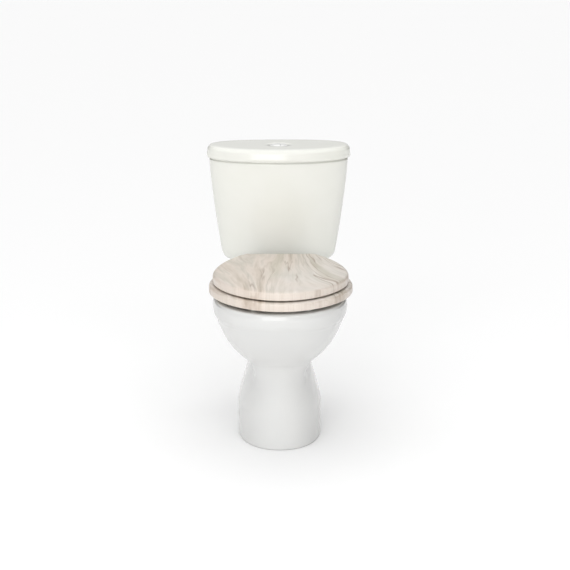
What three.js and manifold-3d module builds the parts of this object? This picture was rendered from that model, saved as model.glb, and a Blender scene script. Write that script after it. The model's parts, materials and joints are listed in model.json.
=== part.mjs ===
// A close-coupled toilet in vitreous china: a pan with a P trap, a cistern bolted on its shelf,
// a dual flush valve, a bottom-entry fill valve, and a film-wrapped wooden seat and lid on plated hinges.
// Millimetres, +Z up. X runs across, +Y runs back to the wall, and the origin is on the floor at the
// middle of the overall width and depth. Each mesh is one piece. Pieces that touch keep a gap of 0.3 mm.

import * as THREE from "three";
import { mergeVertices } from "three/addons/utils/BufferGeometryUtils.js";
import Module from "manifold-3d";

const wasm = await Module();
wasm.setup();

// ---- Driving dimensions ----

const touch = 0.3; // gap kept between pieces that rest on each other
const overallDepth = 660; // front of the seat to the wall
const wallY = overallDepth / 2;
const seatFrontY = -overallDepth / 2;

// Pan
const rimHeight = 400;
const rimHalfWidth = 174;
const rimFrontLength = 204; // from the widest place of the bowl to its front
const rimBackLength = 205;
const seatOverhang = 8; // the seat ring stands this far past the rim at the front
const rimBandHeight = 50; // the raised band under the rim, above the step in the bowl
const rimStep = 10; // how far the bowl steps in under the band
const rimWidth = 46; // width of the rim's flat top, seen from above
const rimLipDepth = 42; // the flushing rim's inner lip hangs this far down
const rimLipThickness = 9;
const chinaWall = 12;
const neckHalfWidth = 78.5;
const neckFrontLength = 57;
const footHalfWidth = 110;
const footFrontSetback = 142; // foot front behind the seat's front
const footBackSetback = 140; // foot back in front of the wall
const sumpHalfWidth = 42;
const trapRadius = 32;
const trapWall = 9;
const waterSeal = 50;
const outletRadius = 51;
const outletBoreRadius = 42;
const outletInset = 12; // the spigot ends this far in front of the wall
const shelfThickness = 26;
const shelfHalfWidth = 88;
const shelfInset = 18; // the shelf ends this far in front of the wall
const spineHalfWidth = 62; // the upright body under the shelf that holds the trap and the flush inlet

// Cistern
const cisternHeight = 728; // top of the cistern lid above the floor
const cisternLidHalfWidth = 195;
const cisternLidHeight = 32;
const cisternLidDepth = 183;
const cisternBackDepth = 88; // from the widest place of the cistern to its back
const lidOverhang = 7; // the lid stands this far past the body
const lidSkirt = 6; // the lid's edge hangs this far down over the body
const lidPlate = 10;
const cisternTaper = 37; // each side leans in this much towards the bottom
const cisternFrontTaper = 16;
const cisternWall = 10;
const cisternFloor = 10;
const cisternLift = 12; // space between the pan's shelf and the cistern
const lidLiftClearance = 2; // all round, between the lid's hanging edge and the body

// Seat
const seatOffset = 2; // the seat is fixed this far right of the middle, in the play of its bolt holes
const ringHalfWidth = 186;
const ringLength = 425;
const ringFrontLength = 212;
const ringThickness = 23.5;
const ringOpeningHalfWidth = 118;
const ringOpeningFrontLength = 147;
const ringOpeningBackLength = 138;
const seatLidHalfWidth = 176;
const seatLidSetback = 6; // the lid's front edge behind the ring's
const seatLidLength = 421;
const seatLidThickness = 24.5;
const ringBufferHeight = 9;
const lidBufferHeight = 4;
const bufferRadius = 8;
const seatEdge = 7; // rounding of the seat's edges
const hingeSpacing = 155; // between the two seat bolts
const hingeSetback = 13; // hinge axis behind the ring
const hingeRise = 3.5; // hinge axis above the underside of the seat lid
const hingePinRadius = 4;
const knuckleRadius = 9;
const knuckleLength = 14;
const postWidth = 16;
const seatBoltRadius = 4;
const seatHoleRadius = 8;

// Flush and fill valves
const valveInset = 93; // flush valve, button and the pan's inlet stand this far in front of the wall
const buttonHoleRadius = 20;
const bezelRadius = 24;
const bezelThickness = 2.7;
const buttonRadius = 16.5;
const buttonCrown = 1.5; // the buttons stand this far above the bezel
const buttonSplitX = 5;
const valveTailRadius = 30;
const valveTailBore = 25;
const valveTowerRadius = 36;
const towerClearance = 32; // under the cistern's lid
const overflowRadius = 15;
const rockerArm = 12;
const fillValveX = -106;
const fillTailRadius = 10;
const floatRadius = 27;
const floatHeight = 56;
const cisternBoltSpacing = 130;
const cisternBoltRadius = 4;
const screwHeight = 21; // side screws that hold the foot to the floor
const screwY = 70;

// ---- Values worked out from them ----

const rimFrontY = seatFrontY + seatOverhang;
const bowlY = rimFrontY + rimFrontLength;
const bandFoot = rimHeight - rimBandHeight;
const footFrontY = seatFrontY + footFrontSetback;
const footBackY = wallY - footBackSetback;
const neckHeight = rimHeight * 0.55;
const sumpFloorHeight = rimHeight * 0.225;
const weirHeight = rimHeight * 0.5; // the still water in the bowl stands at this height
const outletHeight = rimHeight * 0.45;
const outletStartY = footBackY - 14; // the spigot begins inside the back of the foot
const valveY = wallY - valveInset;
const shelfUnderside = rimHeight - shelfThickness;
const shelfBackY = wallY - shelfInset;
const outletEndY = wallY - outletInset;
const cisternUnderside = rimHeight + cisternLift;
const tankFloor = cisternUnderside + cisternFloor;
const lidUnderside = cisternHeight - cisternLidHeight;
const bodyTop = lidUnderside + lidSkirt;
const cisternMiddleY = wallY - cisternBackDepth;
const bodyHalfWidth = cisternLidHalfWidth - lidOverhang;
const bodyFrontLength = cisternLidDepth - cisternBackDepth - lidOverhang;
const bodyBackLength = cisternBackDepth - 3;
const bodyBackY = wallY - 5; // the flat of the cistern's back
const ringUnderside = rimHeight + ringBufferHeight;
const ringTop = ringUnderside + ringThickness;
const seatLidUnderside = ringTop + lidBufferHeight;
const seatLidFrontY = seatFrontY + seatLidSetback;
const seatMiddleY = seatFrontY + ringFrontLength;
const hingeAxisY = seatFrontY + ringLength + hingeSetback;
const hingeAxisHeight = seatLidUnderside + hingeRise;
const valveTowerTop = lidUnderside - towerClearance;
const lidPlateUnderside = cisternHeight - lidPlate;
const bezelUnderside = cisternHeight - bezelThickness;

// ---- Materials ----

const finish = (color, roughness, metalness = 0) =>
  new THREE.MeshStandardMaterial({ color, roughness, metalness });
const china = finish(0xf1f0ec, 0.12);
const woodFilm = finish(0xd9cdc0, 0.35);
const plated = finish(0xd8dadc, 0.15, 1);
const steel = finish(0xb5b8ba, 0.35, 1);
const brass = finish(0xc2a15a, 0.35, 1);
const rubber = finish(0x2b2b2c, 0.8);
const clearPad = finish(0xe6e4de, 0.5);
const whitePlastic = finish(0xeeeeea, 0.35);
const greyPlastic = finish(0xb9bec2, 0.45);
const bluePlastic = finish(0x5b8fc0, 0.45);
const foam = finish(0x3a3a3c, 0.95);

// ---- Solids ----

// A closed geometry as a solid that can be cut and joined.
function solid(geometry) {
  const bare = geometry.index ? geometry.toNonIndexed() : geometry.clone();
  bare.deleteAttribute("normal");
  bare.deleteAttribute("uv");
  const merged = mergeVertices(bare, 1e-4);
  const mesh = new wasm.Mesh({
    numProp: 3,
    vertProperties: merged.attributes.position.array,
    triVerts: new Uint32Array(merged.index.array),
  });
  return new wasm.Manifold(mesh);
}

const join = (...solids) => solids.reduce((all, next) => all.add(next));
const cut = (body, ...tools) => tools.reduce((left, tool) => left.subtract(tool), body);

function geometryOf(made) {
  const mesh = made.getMesh();
  return new THREE.BufferGeometry()
    .setAttribute("position", new THREE.BufferAttribute(mesh.vertProperties, 3))
    .setIndex(new THREE.BufferAttribute(mesh.triVerts, 1));
}

// A named piece of the object.
function piece(name, made, material) {
  const geometry = geometryOf(made).toNonIndexed();
  geometry.computeVertexNormals();
  const mesh = new THREE.Mesh(geometry, material);
  mesh.name = name;
  return mesh;
}

function rod(radius, from, to, x = 0, y = 0, sides = 16) {
  const turned = new THREE.CylinderGeometry(radius, radius, to - from, sides);
  return solid(turned.rotateX(Math.PI / 2).translate(x, y, (from + to) / 2));
}

function rodAlongX(radius, from, to, y, z, sides = 16) {
  const turned = new THREE.CylinderGeometry(radius, radius, to - from, sides);
  return solid(turned.rotateZ(Math.PI / 2).translate((from + to) / 2, y, z));
}

function rodAlongY(radius, from, to, x, z, sides = 24) {
  return solid(new THREE.CylinderGeometry(radius, radius, to - from, sides).translate(x, (from + to) / 2, z));
}

// A box from its lowest to its highest corner.
function block(low, high) {
  const size = high.map((value, axis) => value - low[axis]);
  const middle = high.map((value, axis) => (value + low[axis]) / 2);
  return solid(new THREE.BoxGeometry(...size).translate(...middle));
}

// A profile of [radius, height] pairs turned round an upright axis. It runs up its outer side.
function turned(profile, x = 0, y = 0, sides = 20) {
  const points = profile.map(([radius, height]) => new THREE.Vector2(radius, height));
  return solid(new THREE.LatheGeometry(points, sides).rotateX(Math.PI / 2).translate(x, y, 0));
}

function ring(outer, inner, from, to, x = 0, y = 0, sides = 20) {
  return turned([[inner, from], [outer, from], [outer, to], [inner, to], [inner, from]], x, y, sides);
}

// A point of a closed outline: an ellipse where square is 2, nearing a rectangle as square grows.
// Turn 0 is the front.
function outlinePoint(turn, { side, front, back, frontSquare = 2, backSquare = 2 }) {
  const across = Math.sin(turn);
  const along = -Math.cos(turn);
  const isFront = along < 0;
  const bent = (value) => Math.sign(value) * Math.abs(value) ** (2 / (isFront ? frontSquare : backSquare));
  return [side * bent(across), (isFront ? front : back) * bent(along)];
}

// Turns a stack of levels, { z, middle, side, front, back, ... }, and draws each ring out to its own outline.
// The first and last levels are points, where side, front and back are 0.
function stacked(levels, segments = 32) {
  const profile = levels.map((level) => new THREE.Vector2(level.side, level.z));
  const geometry = new THREE.LatheGeometry(profile, segments);
  const position = geometry.attributes.position;
  for (let index = 0; index < position.count; index++) {
    const level = levels[index % levels.length];
    const step = Math.floor(index / levels.length) % segments;
    const [x, y] = outlinePoint((step / segments) * 2 * Math.PI, level);
    position.setXYZ(index, x, level.middle + y, level.z);
  }
  return solid(geometry);
}

const closed = (levels) => {
  const end = (level) => ({ ...level, side: 0, front: 0, back: 0 });
  return [end(levels[0]), ...levels, end(levels.at(-1))];
};

// An outline as a shape, for plates.
function outlineShape(outline, middle, count = 40) {
  const points = Array.from({ length: count }, (_, step) => {
    const [x, y] = outlinePoint((step / count) * 2 * Math.PI, outline);
    return new THREE.Vector2(x, middle + y);
  });
  return new THREE.Shape(points);
}

// A flat plate of a shape between two heights, with its edges rounded by edge.
function plate(shape, from, to, edge = 0, edgeSteps = 3) {
  const geometry = new THREE.ExtrudeGeometry(shape, {
    depth: to - from - 2 * edge,
    bevelEnabled: edge > 0,
    bevelThickness: edge,
    bevelSize: edge,
    bevelOffset: -edge,
    bevelSegments: edgeSteps,
    steps: 1,
  });
  return solid(geometry.translate(0, 0, from + edge));
}

// A round tube's solid along a smooth path through points of [y, z] in the middle plane.
function pipe(points, radius, steps = 14, sides = 10) {
  const path = new THREE.CatmullRomCurve3(points.map(([y, z]) => new THREE.Vector3(0, y, z)));
  const section = new THREE.Shape().absarc(0, 0, radius, 0, 2 * Math.PI);
  return solid(
    new THREE.ExtrudeGeometry(section, { extrudePath: path, steps, curveSegments: sides, bevelEnabled: false }),
  );
}

// ---- Pan ----

// The bowl's outer half width from the step down to the sump, as a smooth line of [half width, height].
function bowlLine(inset, count) {
  const bowlRise = bandFoot - neckHeight;
  const line = new THREE.SplineCurve([
    new THREE.Vector2(rimHalfWidth - rimStep - inset, bandFoot - 4),
    new THREE.Vector2(rimHalfWidth - 33 - inset, neckHeight + bowlRise * 0.56 + inset * 0.5),
    new THREE.Vector2(rimHalfWidth - 68 - inset, neckHeight + bowlRise * 0.215 + inset * 0.6),
    new THREE.Vector2(neckHalfWidth - inset * 0.8, neckHeight + inset * 0.3),
    new THREE.Vector2(sumpHalfWidth + 2 * chinaWall - inset, neckHeight * 0.84),
    new THREE.Vector2(sumpHalfWidth + chinaWall - inset, neckHeight * 0.59),
  ]);
  return line.getPoints(count);
}

// A level of the bowl: an egg at the rim, nearly round at the neck.
function bowlLevel(side, z) {
  const { clamp, lerp } = THREE.MathUtils;
  const share = clamp((z - neckHeight) / (bandFoot - neckHeight), 0, 1) ** 0.75;
  const front = side * lerp(neckFrontLength / neckHalfWidth, rimFrontLength / rimHalfWidth, share);
  const back = side * lerp(1, rimBackLength / rimHalfWidth, share);
  return { z, middle: bowlY, side, front, back, frontSquare: 2.3, backSquare: 2.3 };
}

// The outside of the bowl and rim. Grown by grow, it is the room that the other castings leave for it.
function bowlOuter(grow = 0) {
  const band = [
    [rimHalfWidth - rimStep, bandFoot - 4],
    [rimHalfWidth - 5, bandFoot + 1],
    [rimHalfWidth - 1.5, bandFoot + 12],
    [rimHalfWidth, rimHeight - 22],
    [rimHalfWidth - 1.5, rimHeight - 10],
    [rimHalfWidth - 6, rimHeight - 2],
    [rimHalfWidth - 12, rimHeight],
  ].map(([side, z]) => bowlLevel(side + grow, z));
  const lower = bowlLine(-grow, 8)
    .slice(1)
    .reverse()
    .map((point) => bowlLevel(point.x, point.y));
  const sump = bowlLevel(sumpHalfWidth + chinaWall + grow, sumpFloorHeight - grow);
  const sumpFloor = bowlLevel(sumpHalfWidth, sumpFloorHeight - chinaWall - grow);
  return stacked(closed([sumpFloor, sump, ...lower, ...band]));
}

// The space inside the bowl, with the channel behind the hanging lip of the flushing rim.
function bowlSpace() {
  const opening = rimHalfWidth - rimWidth;
  const lipBack = opening + 3;
  const channelTop = rimHeight - 16;
  const lipFoot = rimHeight - rimLipDepth;
  const upper = [
    [rimHalfWidth - rimStep - chinaWall - 3, lipFoot - 18],
    [rimHalfWidth - chinaWall - 10, channelTop],
    [lipBack, channelTop],
    [lipBack, lipFoot],
    [opening - rimLipThickness + 3, lipFoot],
    [opening - 4, rimHeight - 8],
    [opening, rimHeight],
    [opening + 2, rimHeight + 5],
  ].map(([side, z]) => bowlLevel(side, z));
  const lower = bowlLine(chinaWall, 8)
    .slice(1)
    .reverse()
    .map((point) => bowlLevel(point.x, point.y));
  const sump = bowlLevel(sumpHalfWidth - 6, sumpFloorHeight + 8);
  const sumpFloor = bowlLevel(sumpHalfWidth / 2, sumpFloorHeight);
  return stacked(closed([sumpFloor, sump, ...lower, ...upper]));
}

// The pedestal under the bowl: a waist at the neck that flares to the foot, inset for its inner face.
function pedestal(inset, topRise) {
  const middle = 0;
  const flare = [
    [1, 0, 0, 0],
    [1, 0.3, 4, 0],
    [0.98, 0.42, 6, 0],
    [0.82, 0.5, 8, 0],
    [0.58, 0.63, 11, 1],
    [0.33, 0.75, 13, 5],
    [0.14, 0.88, 14, 17],
    [0, 1, 18, 45],
    [-0.2, 1.19, 40, 125],
  ];
  const levels = flare.map(([share, rise, frontBack, backIn]) => {
    const z = rise * neckHeight;
    const side = THREE.MathUtils.lerp(neckHalfWidth, footHalfWidth, share) - inset;
    const front = middle - footFrontY - frontBack - inset;
    const back = footBackY - middle - backIn - inset;
    return { z, middle, side, front, back, frontSquare: 2.2, backSquare: 2.6 };
  });
  const top = topRise * neckHeight;
  const kept = levels.filter((level) => level.z < top - 1);
  const last = { ...kept.at(-1), z: top };
  if (inset > 0) kept[0] = { ...kept[0], z: -10 };
  return stacked(closed([...kept, last]));
}

// The upright body behind the bowl, between the foot and the shelf, inset for its inner face.
function spine(inset, from, to) {
  const middle = outletStartY - 66;
  const toBowl = middle - bowlY;
  const reach = [
    [from, 0, toBowl - 78, footBackY - middle - 8],
    [rimHeight * 0.625, 0, toBowl - 78, 95],
    [rimHeight - 70, 13, toBowl - 118, 160],
    [to, 14, toBowl - 128, 190],
  ];
  const levels = reach.map(([z, waist, front, back]) => ({
    z,
    middle,
    side: spineHalfWidth - waist - inset,
    front: front - inset,
    back: back - inset,
    frontSquare: 6,
    backSquare: 4,
  }));
  return stacked(closed(levels), 24);
}

function shelf() {
  const flank = new THREE.Shape();
  const wide = rimHalfWidth - 20;
  const corner = 26;
  flank.moveTo(-wide, bowlY + 120);
  flank.lineTo(wide, bowlY + 120);
  flank.bezierCurveTo(wide, hingeAxisY - 20, shelfHalfWidth + 8, hingeAxisY - 10, shelfHalfWidth, valveY - 60);
  flank.lineTo(shelfHalfWidth, shelfBackY - corner);
  flank.absarc(shelfHalfWidth - corner, shelfBackY - corner, corner, 0, Math.PI / 2);
  flank.lineTo(-shelfHalfWidth + corner, shelfBackY);
  flank.absarc(corner - shelfHalfWidth, shelfBackY - corner, corner, Math.PI / 2, Math.PI);
  flank.lineTo(-shelfHalfWidth, valveY - 60);
  flank.bezierCurveTo(-shelfHalfWidth - 8, hingeAxisY - 10, -wide, hingeAxisY - 20, -wide, bowlY + 120);
  const geometry = new THREE.ExtrudeGeometry(flank, {
    depth: shelfThickness - 8,
    bevelEnabled: true,
    bevelThickness: 4,
    bevelSize: 4,
    bevelOffset: -4,
    bevelSegments: 2,
    curveSegments: 8,
  });
  return solid(geometry.translate(0, 0, shelfUnderside + 4));
}

// The trap: out of the sump, up over the weir and down to the outlet.
const dipHeight = weirHeight - waterSeal - trapRadius;
const crownHeight = weirHeight + trapRadius;
const trapPath = [
  [bowlY + 10, dipHeight],
  [bowlY + 90, dipHeight + 2],
  [outletStartY - 156, dipHeight + 32],
  [outletStartY - 114, crownHeight - 30],
  [outletStartY - 64, crownHeight],
  [outletStartY - 16, crownHeight - 13],
  [outletStartY + 20, outletHeight + 9],
  [outletStartY + 49, outletHeight],
];

// The pan is cast in six pieces that are stuck together before firing: rim, bowl, trap, foot, inlet and shelf.
const castingGap = 0.4;
const castingSplit = rimHeight - 100; // the foot ends and the inlet's casting begins
const rimSplit = bandFoot + 2; // the bowl ends and the rim's casting begins
const inletRadius = 36;
const seatingRadius = 50;
const seatingDepth = 14;
const flushRadius = 17;

const flushPath = [
  [valveY, rimHeight - 20],
  [valveY - 12, rimHeight - 50],
  [valveY - 55, rimHeight - 66],
  [valveY - 120, rimHeight - 52],
  [bowlY + rimBackLength - 45, rimHeight - 36],
];
const flushWay = (radius) => pipe(flushPath, radius, 8, 7);
const trapWay = (radius) => pipe(trapPath, radius);
const spigot = (radius, from = outletStartY) => rodAlongY(radius, from, outletEndY, 0, outletHeight);
const above = (z) => block([-300, -500, z], [300, 500, z + 500]);

const bowlAndRim = () => cut(bowlOuter(), bowlSpace(), trapWay(trapRadius), flushWay(flushRadius));
const panRim = () => bowlAndRim().intersect(above(rimSplit));
const panBowl = () => cut(bowlAndRim(), above(rimSplit - castingGap));

function panTrap() {
  const bore = rodAlongY(outletBoreRadius, outletStartY + trapWall, outletEndY + 5, 0, outletHeight);
  const tube = join(trapWay(trapRadius + trapWall), spigot(outletRadius));
  return cut(tube, bowlOuter(castingGap), trapWay(trapRadius), bore);
}

function panFoot() {
  const trapRoom = trapWay(trapRadius + trapWall + castingGap);
  const room = [bowlOuter(castingGap), trapRoom, spigot(outletRadius + castingGap)];
  const outer = join(pedestal(0, 1.19), spine(0, rimHeight * 0.15, rimHeight - 2));
  const inner = join(pedestal(chinaWall, 0.97), spine(chinaWall, rimHeight * 0.14, rimHeight - 60));
  const screwHoles = [-1, 1].map((side) => {
    const from = side > 0 ? footHalfWidth - 40 : -footHalfWidth - 10;
    return rodAlongX(4, from, from + 50, screwY, screwHeight);
  });
  return cut(outer, inner, ...room, above(castingSplit - castingGap), ...screwHoles);
}

// The shelf on its upright, with the way from the cistern's outlet to the rim's channel.
function shelfAndInlet() {
  const flushBody = flushWay(flushRadius + trapWall);
  const inletBody = rod(inletRadius + chinaWall, rimHeight - 56, rimHeight - 2, 0, valveY, 24);
  const upright = spine(0, rimHeight * 0.15, rimHeight - 2).intersect(above(castingSplit));
  const under = cut(spine(chinaWall, rimHeight * 0.14, rimHeight - 60), flushBody, inletBody);
  const boltHoles = [-1, 1].flatMap((side) => [
    rod(cisternBoltRadius + 3, shelfUnderside - 5, rimHeight + 5, (side * cisternBoltSpacing) / 2, valveY),
    rod(seatHoleRadius, shelfUnderside - 5, rimHeight + 5, (side * hingeSpacing) / 2, hingeAxisY),
  ]);
  return cut(
    join(shelf(), upright, flushBody, inletBody),
    under,
    bowlOuter(castingGap),
    rod(inletRadius, rimHeight - 44, rimHeight + 5, 0, valveY, 24),
    rod(seatingRadius, rimHeight - seatingDepth, rimHeight + 5, 0, valveY, 24),
    flushWay(flushRadius),
    ...boltHoles,
  );
}

const panShelf = () => shelfAndInlet().intersect(above(shelfUnderside));
const panInlet = () => cut(shelfAndInlet(), above(shelfUnderside - castingGap));

// ---- Cistern ----

const cisternOutline = { frontSquare: 2.05, backSquare: 2.8 };

// A level of the cistern body: both sides and the front lean in towards the bottom.
function cisternLevel(z, inset) {
  const drop = THREE.MathUtils.clamp((lidUnderside - z) / (lidUnderside - cisternUnderside), 0, 1);
  return {
    ...cisternOutline,
    z,
    middle: cisternMiddleY,
    side: bodyHalfWidth - cisternTaper * drop ** 1.35 - inset,
    front: bodyFrontLength - cisternFrontTaper * drop ** 1.35 - inset,
    back: bodyBackLength - inset,
  };
}

function cisternBody() {
  const curl = [
    [cisternUnderside, 20],
    [cisternUnderside + 5, 9],
    [cisternUnderside + 14, 2],
    [cisternUnderside + 30, 0],
  ];
  const height = (share) => THREE.MathUtils.lerp(cisternUnderside, bodyTop, share);
  const sides = [0.3, 0.5, 0.7, 0.86, 1].map((share) => [height(share), 0]);
  const outer = stacked(closed([...curl, ...sides].map(([z, inset]) => cisternLevel(z, inset))));
  const innerHeights = [
    [tankFloor, 7],
    [tankFloor + 7, 1],
    [tankFloor + 60, 0],
    [tankFloor + 150, 0],
    [bodyTop + 5, 0],
  ];
  const space = stacked(closed(innerHeights.map(([z, inset]) => cisternLevel(z, inset + cisternWall))));
  const holes = [-1, 1].map((side) =>
    rod(cisternBoltRadius + 3, cisternUnderside - 5, tankFloor + 5, (side * cisternBoltSpacing) / 2, valveY),
  );
  return cut(
    outer,
    block([-bodyHalfWidth, bodyBackY, 0], [bodyHalfWidth, wallY + 10, cisternHeight]),
    space,
    rod(valveTailRadius + 2, cisternUnderside - 5, tankFloor + 5, 0, valveY, 24),
    rod(fillTailRadius + 1.5, cisternUnderside - 5, tankFloor + 5, fillValveX, valveY),
    ...holes,
  );
}

function cisternLid() {
  const level = (z, inset) => ({
    ...cisternOutline,
    z,
    middle: cisternMiddleY,
    side: cisternLidHalfWidth - inset,
    front: cisternLidDepth - cisternBackDepth - inset,
    back: cisternBackDepth - inset,
  });
  const outer = stacked(
    closed([
      level(lidUnderside, 2),
      level(lidUnderside + 3, 0),
      level(cisternHeight - 13, 2),
      level(cisternHeight - 7, 4),
      level(cisternHeight - 2.5, 8),
      level(cisternHeight - 0.6, 13),
      level(cisternHeight, 20),
    ]),
    36,
  );
  const bodyLevel = (z, inset) => ({ ...cisternLevel(bodyTop, inset), z });
  const seating = stacked(
    closed([bodyLevel(lidUnderside - 5, -lidLiftClearance), bodyLevel(bodyTop + touch, -lidLiftClearance)]),
    36,
  );
  const hollow = cisternWall + 2;
  const spaceLevels = [bodyLevel(lidUnderside - 5, hollow), bodyLevel(lidPlateUnderside, hollow + 6)];
  const space = stacked(closed(spaceLevels), 36);
  return cut(
    outer,
    seating,
    space,
    rod(buttonHoleRadius, lidPlateUnderside - 5, cisternHeight + 5, 0, valveY, 24),
    rod(bezelRadius + 1, bezelUnderside - touch, cisternHeight + 5, 0, valveY, 24),
  );
}

// ---- Flush button, in the cistern lid ----

function buttonHousing() {
  const sleeve = buttonHoleRadius - 1;
  const bore = buttonRadius + 0.6;
  return turned(
    [
      [bore, lidPlateUnderside - 14],
      [sleeve, lidPlateUnderside - 14],
      [sleeve, bezelUnderside],
      [bezelRadius, bezelUnderside],
      [bezelRadius, cisternHeight - 0.8],
      [bezelRadius - 2, cisternHeight],
      [bore, cisternHeight - 0.4],
      [bore, lidPlateUnderside - 14],
    ],
    0,
    valveY,
    28,
  );
}

// A flat-sided nut between two heights. Its bore has as many sides as the piece it is threaded on.
function nut(radius, bore, from, to, x, y, boreSides = 24, faces = 12) {
  return cut(rod(radius, from, to, x, y, faces), rod(bore, from - 1, to + 1, x, y, boreSides));
}

function buttonNut() {
  const bore = buttonHoleRadius - 1 + touch;
  return nut(buttonHoleRadius + 8, bore, lidPlateUnderside - 9, lidPlateUnderside - touch, 0, valveY, 28);
}

// One segment of the round button, on one side of the split. Side is -1 for full flush and 1 for half flush.
function buttonSegment(side) {
  const foot = lidPlateUnderside - 4;
  const crown = turned(
    [
      [0, foot],
      [buttonRadius, foot],
      [buttonRadius, cisternHeight - 0.6],
      [buttonRadius * 0.7, cisternHeight + buttonCrown * 0.7],
      [0, cisternHeight + buttonCrown],
    ],
    0,
    valveY,
    28,
  );
  const reach = 40;
  const split = buttonSplitX + (side * touch) / 2;
  const low = side < 0 ? [split, valveY - reach, foot - 1] : [split - reach, valveY - reach, foot - 1];
  const high = [low[0] + reach, valveY + reach, cisternHeight + reach];
  return cut(crown, block(low, high));
}

const rodTop = lidPlateUnderside - 4 - touch;
const rodFoot = valveTowerTop + 10 + touch;
const fullRodX = -7;
const halfRodX = 11;

function pushRod(x) {
  const profile = [[0, rodFoot], [2.5, rodFoot], [3, rodFoot + 2], [3, rodTop - 3], [4.5, rodTop], [0, rodTop]];
  return turned(profile, x, valveY, 12);
}

// ---- Flush valve, in the cistern ----

const towerFoot = tankFloor + 12;
const pivotZ = valveTowerTop + 8;
const rockerPivotX = -19;
const latchPivotX = 22;

function valveBase() {
  return turned(
    [
      [valveTailBore, rimHeight - 26],
      [valveTailRadius, rimHeight - 26],
      [valveTailRadius, tankFloor + 3],
      [valveTailRadius + 12, tankFloor + 3],
      [valveTailRadius + 12, tankFloor + 8],
      [valveTailBore + 4, tankFloor + 8],
      [valveTailBore + 2, tankFloor + 11],
      [valveTailBore, tankFloor + 11],
      [valveTailBore, rimHeight - 26],
    ],
    0,
    valveY,
    24,
  );
}

// A cage on four legs with a cap, which guides the moving core.
function valveTower() {
  const capFoot = valveTowerTop - 6;
  const skirt = ring(valveTowerRadius, valveTowerRadius - 3, tankFloor + 8.3, capFoot, 0, valveY, 24);
  const cap = ring(valveTowerRadius, overflowRadius + 4, capFoot - 0.5, valveTowerTop, 0, valveY, 24);
  const windows = [0, 1].flatMap((turn) => {
    const half = turn ? [60, 14] : [14, 60];
    return [[towerFoot + 6, towerFoot + 60], [towerFoot + 78, capFoot - 30]].map(([low, high]) =>
      block([-half[0], valveY - half[1], low], [half[0], valveY + half[1], high]),
    );
  });
  const slotSide = [-valveTowerRadius + 2, -overflowRadius - 6];
  const slot = block([slotSide[0], valveY - 4, capFoot - 2], [slotSide[1], valveY + 4, valveTowerTop + 2]);
  const ears = [-1, 1].flatMap((face) => {
    const inner = valveY + face * 5.5;
    const outer = valveY + face * 8.5;
    return [rockerPivotX, latchPivotX].map((x) =>
      block([x - 3, Math.min(inner, outer), valveTowerTop - 1], [x + 3, Math.max(inner, outer), pivotZ + 4]),
    );
  });
  const bores = [rockerPivotX, latchPivotX].map((x) => trunnion(2.3, 30, x, pivotZ));
  return cut(join(cut(join(skirt, cap), ...windows, slot), ...ears), ...bores);
}

// A short round bar along Y through the valves' middle line: a trunnion, or the tool for its bore.
const trunnion = (radius, length, x, z) =>
  solid(new THREE.CylinderGeometry(radius, radius, length, 12).translate(x, valveY, z));

// The moving core: the overflow tube, its float and the lifting stem that the rocker pulls.
function valveCore() {
  const core = turned(
    [
      [overflowRadius - 2.5, tankFloor + 14],
      [valveTailBore - 3, tankFloor + 14],
      [valveTailBore + 4, tankFloor + 17],
      [valveTailBore + 4, tankFloor + 20],
      [overflowRadius, tankFloor + 24],
      [overflowRadius, tankFloor + 70],
      [valveTowerRadius - 5, tankFloor + 76],
      [valveTowerRadius - 5, tankFloor + 130],
      [overflowRadius, tankFloor + 136],
      [overflowRadius, valveTowerTop - 14],
      [overflowRadius - 2.5, valveTowerTop - 14],
      [overflowRadius - 2.5, tankFloor + 14],
    ],
    0,
    valveY,
    20,
  );
  const stemX = rockerPivotX - rockerArm;
  const stem = block([stemX - 1.5, valveY - 3, tankFloor + 100], [stemX + 1.5, valveY + 3, rodFoot + 3]);
  const ledge = block([stemX - 1.5, valveY - 3, rodFoot], [stemX + 6, valveY + 3, rodFoot + 3]);
  const foot = block([stemX, valveY - 3, tankFloor + 100], [-overflowRadius, valveY + 3, tankFloor + 110]);
  return join(core, stem, ledge, foot);
}

function valveSeal() {
  const inner = valveTailBore - 3 + touch;
  return ring(valveTailBore + 8, inner, tankFloor + 11.3, tankFloor + 13.7, 0, valveY, 24);
}

// A rocker on moulded trunnions: the push rod presses one end and the other lifts the core.
function flushRocker() {
  const tipX = rockerPivotX - rockerArm + 2.5;
  const beam = block([tipX, valveY - 3, pivotZ - 2], [fullRodX + 3, valveY + 3, pivotZ + 2]);
  return join(beam, trunnion(2, 17, rockerPivotX, pivotZ));
}

// The half flush latch: pressed by its rod, it swings its finger in over the core's float.
function halfFlushLatch() {
  const beam = block([halfRodX - 3, valveY - 3, pivotZ - 2], [latchPivotX + 3, valveY + 3, pivotZ + 2]);
  const finger = block([latchPivotX - 1.5, valveY - 3, pivotZ - 7], [latchPivotX + 3, valveY + 3, pivotZ]);
  return join(beam, finger, trunnion(2, 17, latchPivotX, pivotZ));
}

// ---- Fill valve, in the cistern ----

const fillHeadFoot = tankFloor + 200;
const floatFoot = tankFloor + 105;
const floatArmPivotX = fillValveX + 12;
const floatArmZ = fillHeadFoot + 26;
const floatArmReach = 24;

function fillValveBody() {
  const stem = fillTailRadius;
  return turned(
    [
      [5.5, cisternUnderside - 34],
      [stem, cisternUnderside - 34],
      [stem, tankFloor + 3],
      [stem + 4.5, tankFloor + 3],
      [stem + 4.5, tankFloor + 8],
      [stem, tankFloor + 12],
      [stem, fillHeadFoot],
      [5.5, fillHeadFoot],
      [5.5, cisternUnderside - 34],
    ],
    fillValveX,
    valveY,
    16,
  );
}

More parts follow.
